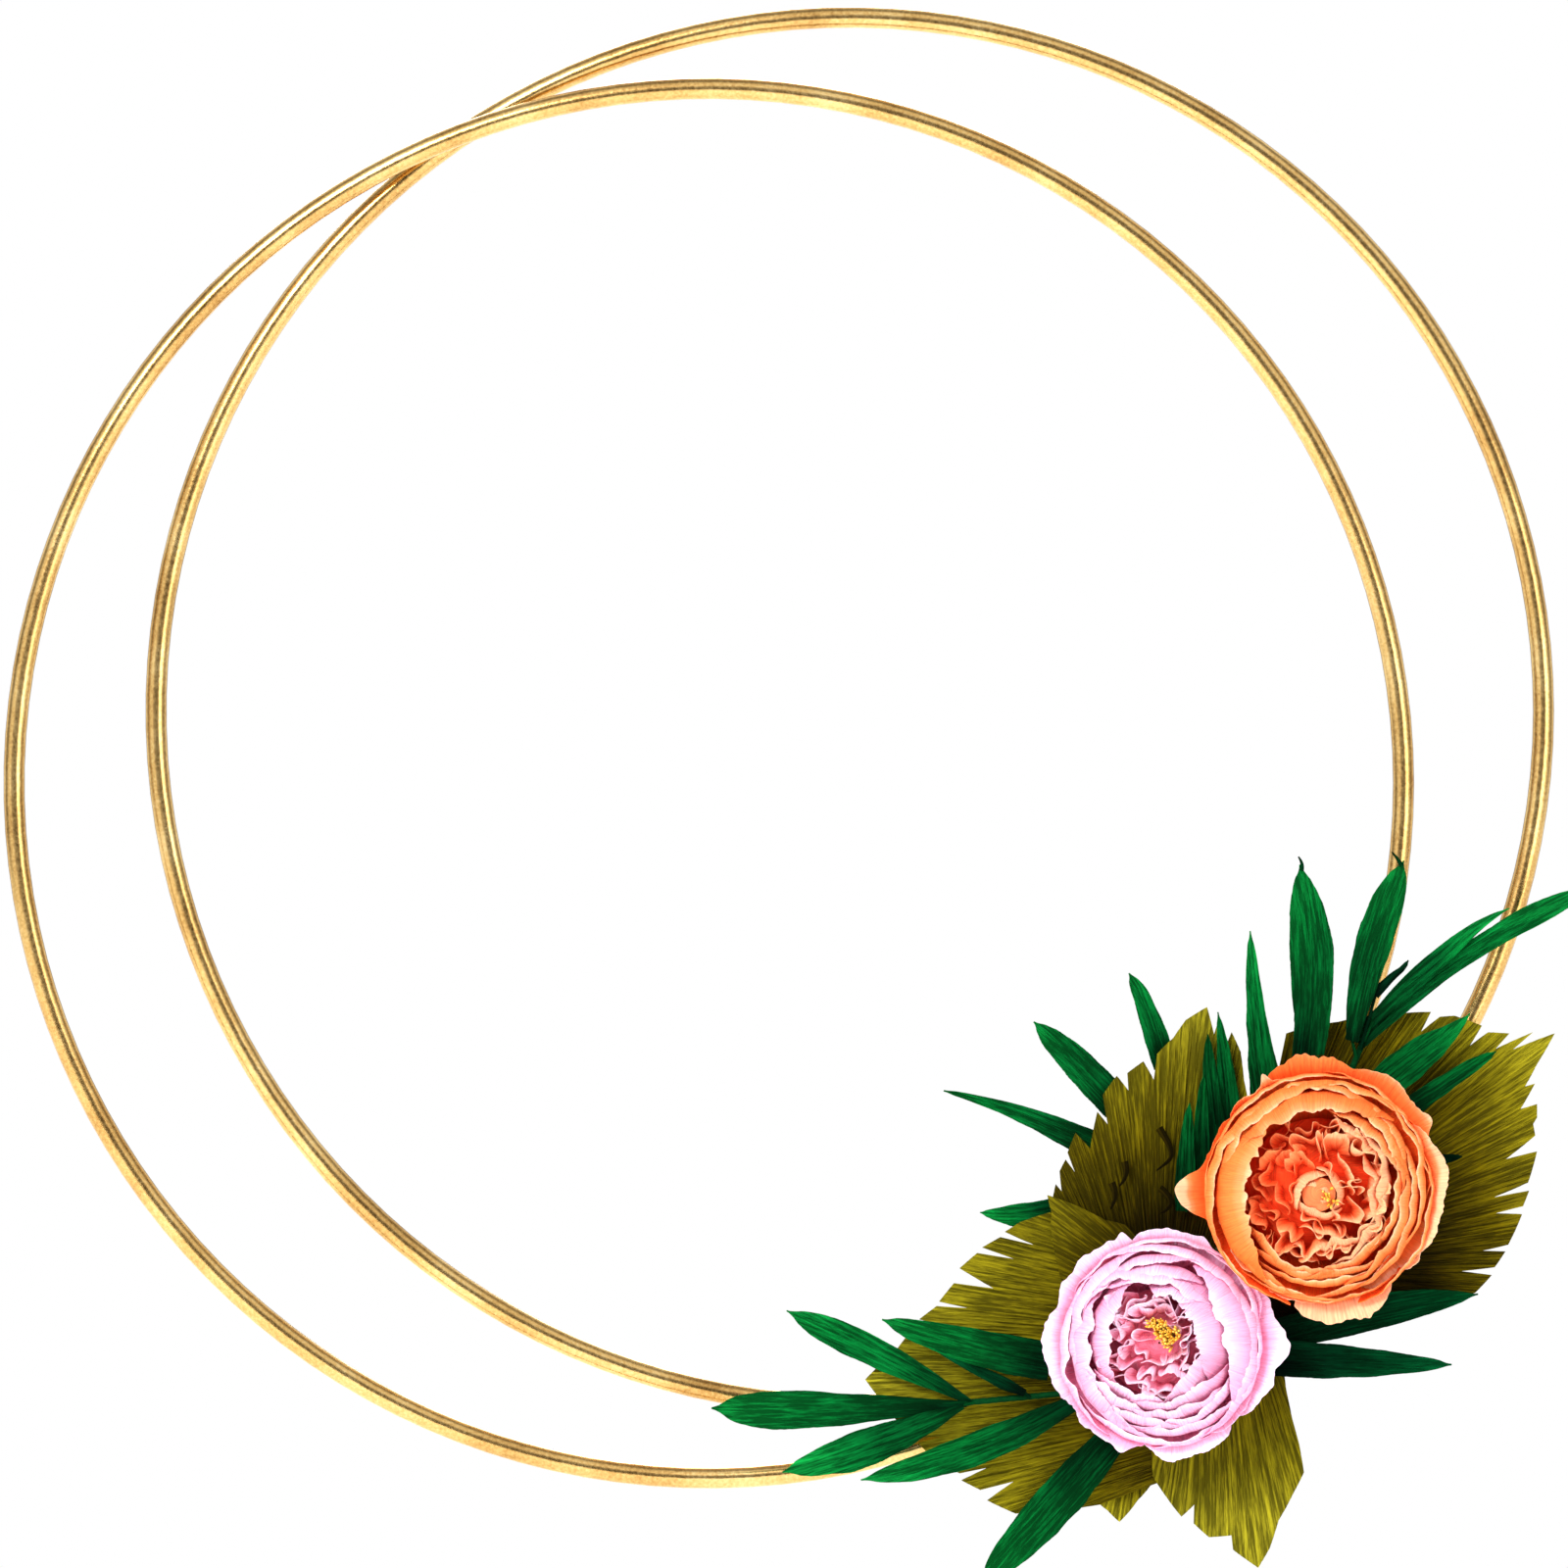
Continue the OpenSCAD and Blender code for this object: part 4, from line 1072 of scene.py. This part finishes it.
def orange_flower():
    flower = Flower("orange", (-0.5, 0.5), 26)
    # pale on the right-hand and lower guard petals paints highlights on their rims; a negative pale makes the
    # left and top ones darker.
    guard_petals(flower, [
        # turn, width, rim radius, rim height, extras
        (166, 70, 33, 9, dict(peak=0.55, peak_at=0.47, peak_width=0.26, blunt=3.4, pale=-0.08)),
        (118, 52, 33, 14, dict(peak=0.2, peak_at=-0.10, peak_width=0.08)),
        (88, 56, 36.5, 12.5, dict(roll=1, pale=-0.1)),
        (50, 60, 37.2, 12, dict(peak=0.1, peak_at=-0.6, blunt=3)),
        (-4, 84, 35.2, 14, dict(roll=0.8, pale=0.1)),
        (-40, 56, 33.5, 12, dict(pale=0.12)),
        (-76, 50, 37, 13, dict(roll=1.2, pale=0.3)),
        (-104, 44, 32, 11.5, dict()),
        (-146, 66, 29.5, 12.5, dict()),
    ], 200)
    cupped(flower, [
        (205, 104, 31.5, 14.5, 1.6, 1.2), (112, 100, 31, 15, 1.8, -1), (40, 92, 31.5, 15, 1.6, 1.2),
        (-22, 96, 32.2, 14.5, 1.6, -1.2), (-88, 90, 30.8, 14, 1.6, 1)], 220, wave=0.8)
    flower.finish("outer_petals", ORANGE, "orange_crepe")
    cupped(flower, [
        (160, 116, 28.4, 17, 3.2, 2), (84, 100, 29.2, 16.6, 2.6, -1.6), (12, 108, 29.4, 16.6, 2.4, 1.4),
        (-60, 100, 28.2, 16, 2.4, -1.2), (-118, 90, 28.6, 16, 2.4, 1.5)], 240, wave=0.8)
    cupped(flower, [
        (128, 104, 26.2, 18.8, 4, -2), (54, 100, 26.4, 18.4, 3.2, 1.6), (-16, 110, 27, 18, 2.8, -1.2),
        (-84, 100, 25.6, 17.4, 2.8, 1.4), (-146, 84, 25.6, 18, 4, 1.4)], 267, wave=0.8)
    flower.finish("middle_petals", ORANGE, "orange_crepe")
    cupped(flower, [
        (176, 128, 19.8, 21.4, 8.6, 1.6), (100, 116, 21.6, 21.6, 6.4, -1.6), (34, 96, 23.6, 20.4, 4.2, 1.2),
        (-24, 100, 24.4, 19.8, 3.6, -1.4), (-88, 104, 23, 19.2, 3.4, 1.2)], 280, wave=0.9, cup=0.3)
    cupped(flower, [
        (40, 90, 21.4, 21.8, 3.6, -1.2), (-10, 96, 22, 21.4, 3.2, 1.2), (-58, 92, 21.4, 20.8, 3.2, -1.2),
        (-112, 84, 20.6, 20.6, 3.6, 1.2)], 301, wave=1, cup=0.3)
    flower.finish("inner_petals", ORANGE, "orange_crepe")
    bed(flower, 20, 10, 17, 338)
    cupped(flower, [
        (14, 92, 18.6, 22.8, 3, 1.2), (-38, 84, 18.8, 22.2, 2.8, -1.2), (48, 60, 17.6, 23, 3, 1),
        (-2, 80, 15.4, 23.6, 3, -1), (-60, 70, 16, 22.6, 2.8, 1)],
        345, wave=1.2, cup=0.5, frill=0.9, frills=2.5, cols=90, pale=0.2)
    ruffles(flower, [
        (12, 15.6, 14, 4, 20.8), (12, 12.6, 15, 5, 21.9), (10, 9.2, 14, 4.6, 22.8), (6, 6.4, 11, 3, 23.2),
        (9, 18.2, 12, 1.5, 20)], 400, heart=(0.2, -0.6), sink=3.5)
    flower.centre += HEART_SHIFT
    for k, (turn, width, rim_r, rim_h, bulge) in enumerate([
            (20, 150, 5, 23.6, 2.4), (140, 150, 4.6, 24.2, 2.6), (260, 140, 4.8, 23.8, 2.4),
            (70, 170, 1.8, 25.2, 3.2), (200, 180, 1.2, 25.4, 3.2), (320, 170, 1.6, 25, 3.2)]):
        profile = shell(rim_r, rim_h, bulge, low=7, base=2.5)
        petal(flower, turn, width, profile, 360 + 5 * k, wave=0.5, lap=0.6, cup=0.2, cols=48, pale=0.25)
    bed(flower, 4.6, 22.5, 25.2, 371, tone=0.8)
    flower.centre -= HEART_SHIFT
    flower.finish("core", ORANGE_IN, "orange_crepe_inner")
    stamens(flower, [(3.2, -2.2), (2.2, -1), (4, -3.4)], 16, 26.4, 31, count=9, spread=0.8)
    calyx(flower)


def pink_flower():
    flower = Flower("pink", (-3.7, 0.6), 22)
    guard_petals(flower, [
        (136, 66, 31.8, 11.5, dict(roll=0.8, peak=0.16, peak_at=-0.8, peak_width=0.1, pale=0.1)),
        (186, 66, 32.4, 11.5, dict(roll=1, pale=0.15)),
        (232, 56, 32, 11, dict(peak=0.12, peak_at=0.6)),
        (285, 54, 32.4, 11, dict(roll=1, pale=0.1)),
        (-9, 76, 33, 11, dict(peak=0.1, peak_at=0.1, roll=1, pale=0.1)),
        (36, 50, 31.2, 11, dict()),
        (80, 60, 31.6, 12, dict(roll=0.5, pale=0.1)),
        (-48, 44, 30.4, 11, dict()),
    ], 500)
    cupped(flower, [
        (182, 116, 26.4, 13.8, 3, 1.4), (98, 108, 28.2, 13.6, 1.8, -1.2), (22, 110, 27.8, 13, 1.8, 1),
        (-48, 96, 27.4, 13, 2, -1), (-106, 90, 27, 13.2, 2.4, 1)], 520, wave=0.7)
    flower.finish("outer_petals", PINK, "pink_crepe")
    cupped(flower, [
        (150, 112, 23, 16.4, 4.2, -1.4), (70, 106, 25, 15.8, 3.2, 1.2), (-6, 116, 25.2, 15.2, 3.4, -1),
        (-76, 96, 24.2, 15.2, 3, 1.2), (-140, 90, 22.8, 16, 4, 1.2)], 540, wave=0.6)
    cupped(flower, [
        (192, 116, 19.2, 18.4, 6, 1.4), (112, 104, 21.8, 18, 3.6, -1.2),
        (-54, 100, 22, 17, 3, -1), (-112, 84, 21, 17.4, 3.6, 1)], 563, wave=0.7)
    cupped(flower, [
        (98, 90, 19, 19.8, 4.2, 1.2), (14, 104, 19, 18.6, 7.6, -1), (-76, 92, 19.4, 18.6, 3.4, 1),
        (-128, 80, 18.6, 19, 4.2, -1)], 571, wave=0.7)
    flower.finish("middle_petals", PINK, "pink_crepe")
    cupped(flower, [
        (168, 128, 13, 20.4, 6.8, -1.2), (84, 104, 16.2, 20.8, 5, 1.2), (-68, 104, 16.6, 19.8, 4.2, 1),
        (-116, 84, 15, 19.8, 4.4, -0.8)], 580, wave=0.7)
    cupped(flower, [
        (20, 116, 11.6, 21, 8.6, 1.2), (-44, 92, 12.6, 20.6, 5.4, -1), (70, 56, 13, 21.4, 5, -0.8)],
        600, wave=0.9, frill=0.3, frills=2.5)
    flower.finish("inner_petals", PINK, "pink_crepe")
    bed(flower, 15.5, 9.5, 13.5, 639, tone=0.55)
    ruffles(flower, [
        (9, 10.2, 14, 4, 18.4), (8, 7, 13, 4, 18.2), (6, 4, 11, 3, 17.4), (10, 13.2, 12, 1.5, 17.8)], 640,
            heart=(-0.5, 0.4), curl=0.9, pale=0.15)
    for k, (x, z, way, width, lean, high) in enumerate([
            (2.6, 9.4, 70, 17, 2, 21.2), (6, 6.8, 20, 15, 2, 20.8), (-2.4, 9, 120, 14, 2.5, 20.2),
            (7.6, 2, -10, 13, 2, 20.4), (-6.2, 9.4, 130, 14, 1.5, 20.2), (-9.6, 4.6, 165, 13, 1.5, 19.6),
            (-6.6, 5.4, 150, 14, 2.5, 19.4), (-7.4, -1, 190, 13, 2.5, 18.8)]):
        ruffle(flower, (x, z), way, width, lean, 8, high, 690 + 3 * k, curl=1.9, pale=0.45)
    flower.finish("core", PINK_IN, "pink_crepe_inner")
    spots = [(-1, 5.4), (0, 4.2), (1.2, 2.8), (2.2, 1.4), (3.2, 0), (2, 4.6), (4.2, 3.2), (4.6, 1.2)]
    stamens(flower, spots, 9, 20, 41, count=15, spread=0.85)
    calyx(flower)


orange_flower()
pink_flower()


# ------------ stage

FLOOR_SIZE = 7.0
FLOOR_DROP = 0.2
LENS = 400.0
SENSOR = 36.0
FRAME_WIDTH = 0.4446
VIEW_RIGHT = 0.0213
VIEW_DOWN = 0.0002
LIGHTS = [
    # name, the way to it from the flowers, size, power
    ("key", (-0.9, -1.5, 1.1), 0.75, 36.0),
    ("fill", (1.3, -1.6, 0.1), 1.2, 10.0),
    ("back", (-0.2, 1.6, 0.9), 1.0, 16.0),
]


def grey(level):
    return (level, level, level, 1.0)


def set_floor():
    bpy.ops.mesh.primitive_plane_add(size=FLOOR_SIZE, location=(0, 0, CAD_BOX[0][2] - FLOOR_DROP))
    floor = bpy.context.object
    floor.name = "floor"
    floor.data.materials.append(new_material("floor_white").finish(
        Base_Color=grey(0.92), Roughness=0.9, Emission_Color=grey(1.0), Emission_Strength=0.32))


def studio_world():
    """White all round, with darker cards behind the camera and beside it for the metal to mirror."""
    world = bpy.data.worlds.new("studio")
    bpy.context.scene.world = world
    w = Nodes(world)
    w.tree.nodes.clear()
    path = w.add("ShaderNodeLightPath")
    where = w.add("ShaderNodeTexCoord")
    split = w.add("ShaderNodeSeparateXYZ", Vector=where.outputs["Generated"])
    levels = [(0.0, 0.30), (0.25, 0.45), (0.42, 1.1), (0.80, 1.1), (0.90, 0.2), (1.0, 0.10)]
    cards = w.ramp(w.math("ABSOLUTE", split.outputs["Y"]), [(spot, grey(level)) for spot, level in levels])
    plain, soft, mirrored = [
        w.add("ShaderNodeBackground", Color=colour, Strength=strength).outputs[0]
        for colour, strength in ((grey(1.0), 1.0), (grey(1.0), 0.95), (cards, 1.0))]
    lit = w.choose(path.outputs["Is Glossy Ray"], soft, mirrored)
    w.add("ShaderNodeOutputWorld", Surface=w.choose(path.outputs["Is Camera Ray"], lit, plain))


def set_lights():
    flowers = Vector(place(150, -20, -140))
    for name, way, size, power in LIGHTS:
        data = bpy.data.lights.new(name, "AREA")
        data.shape = "DISK"
        data.size = size
        data.energy = power
        lamp = link(name, data)
        lamp.location = flowers + Vector(way)
        lamp.rotation_mode = "QUATERNION"
        lamp.rotation_quaternion = (-Vector(way)).to_track_quat("-Z", "Y")


def set_camera():
    data = bpy.data.cameras.new("camera")
    data.lens = LENS
    data.sensor_width = SENSOR
    data.clip_start, data.clip_end = 0.1, 100
    camera = link("camera", data)
    distance = FRAME_WIDTH * LENS / SENSOR
    camera.location = (CENTRE[0] + VIEW_RIGHT, CENTRE[1] - distance, CENTRE[2] - VIEW_DOWN)
    camera.rotation_euler = (pi / 2, 0, 0)
    bpy.context.scene.camera = camera


set_floor()
studio_world()
set_lights()
set_camera()
bpy.context.scene.view_settings.view_transform = "Standard"
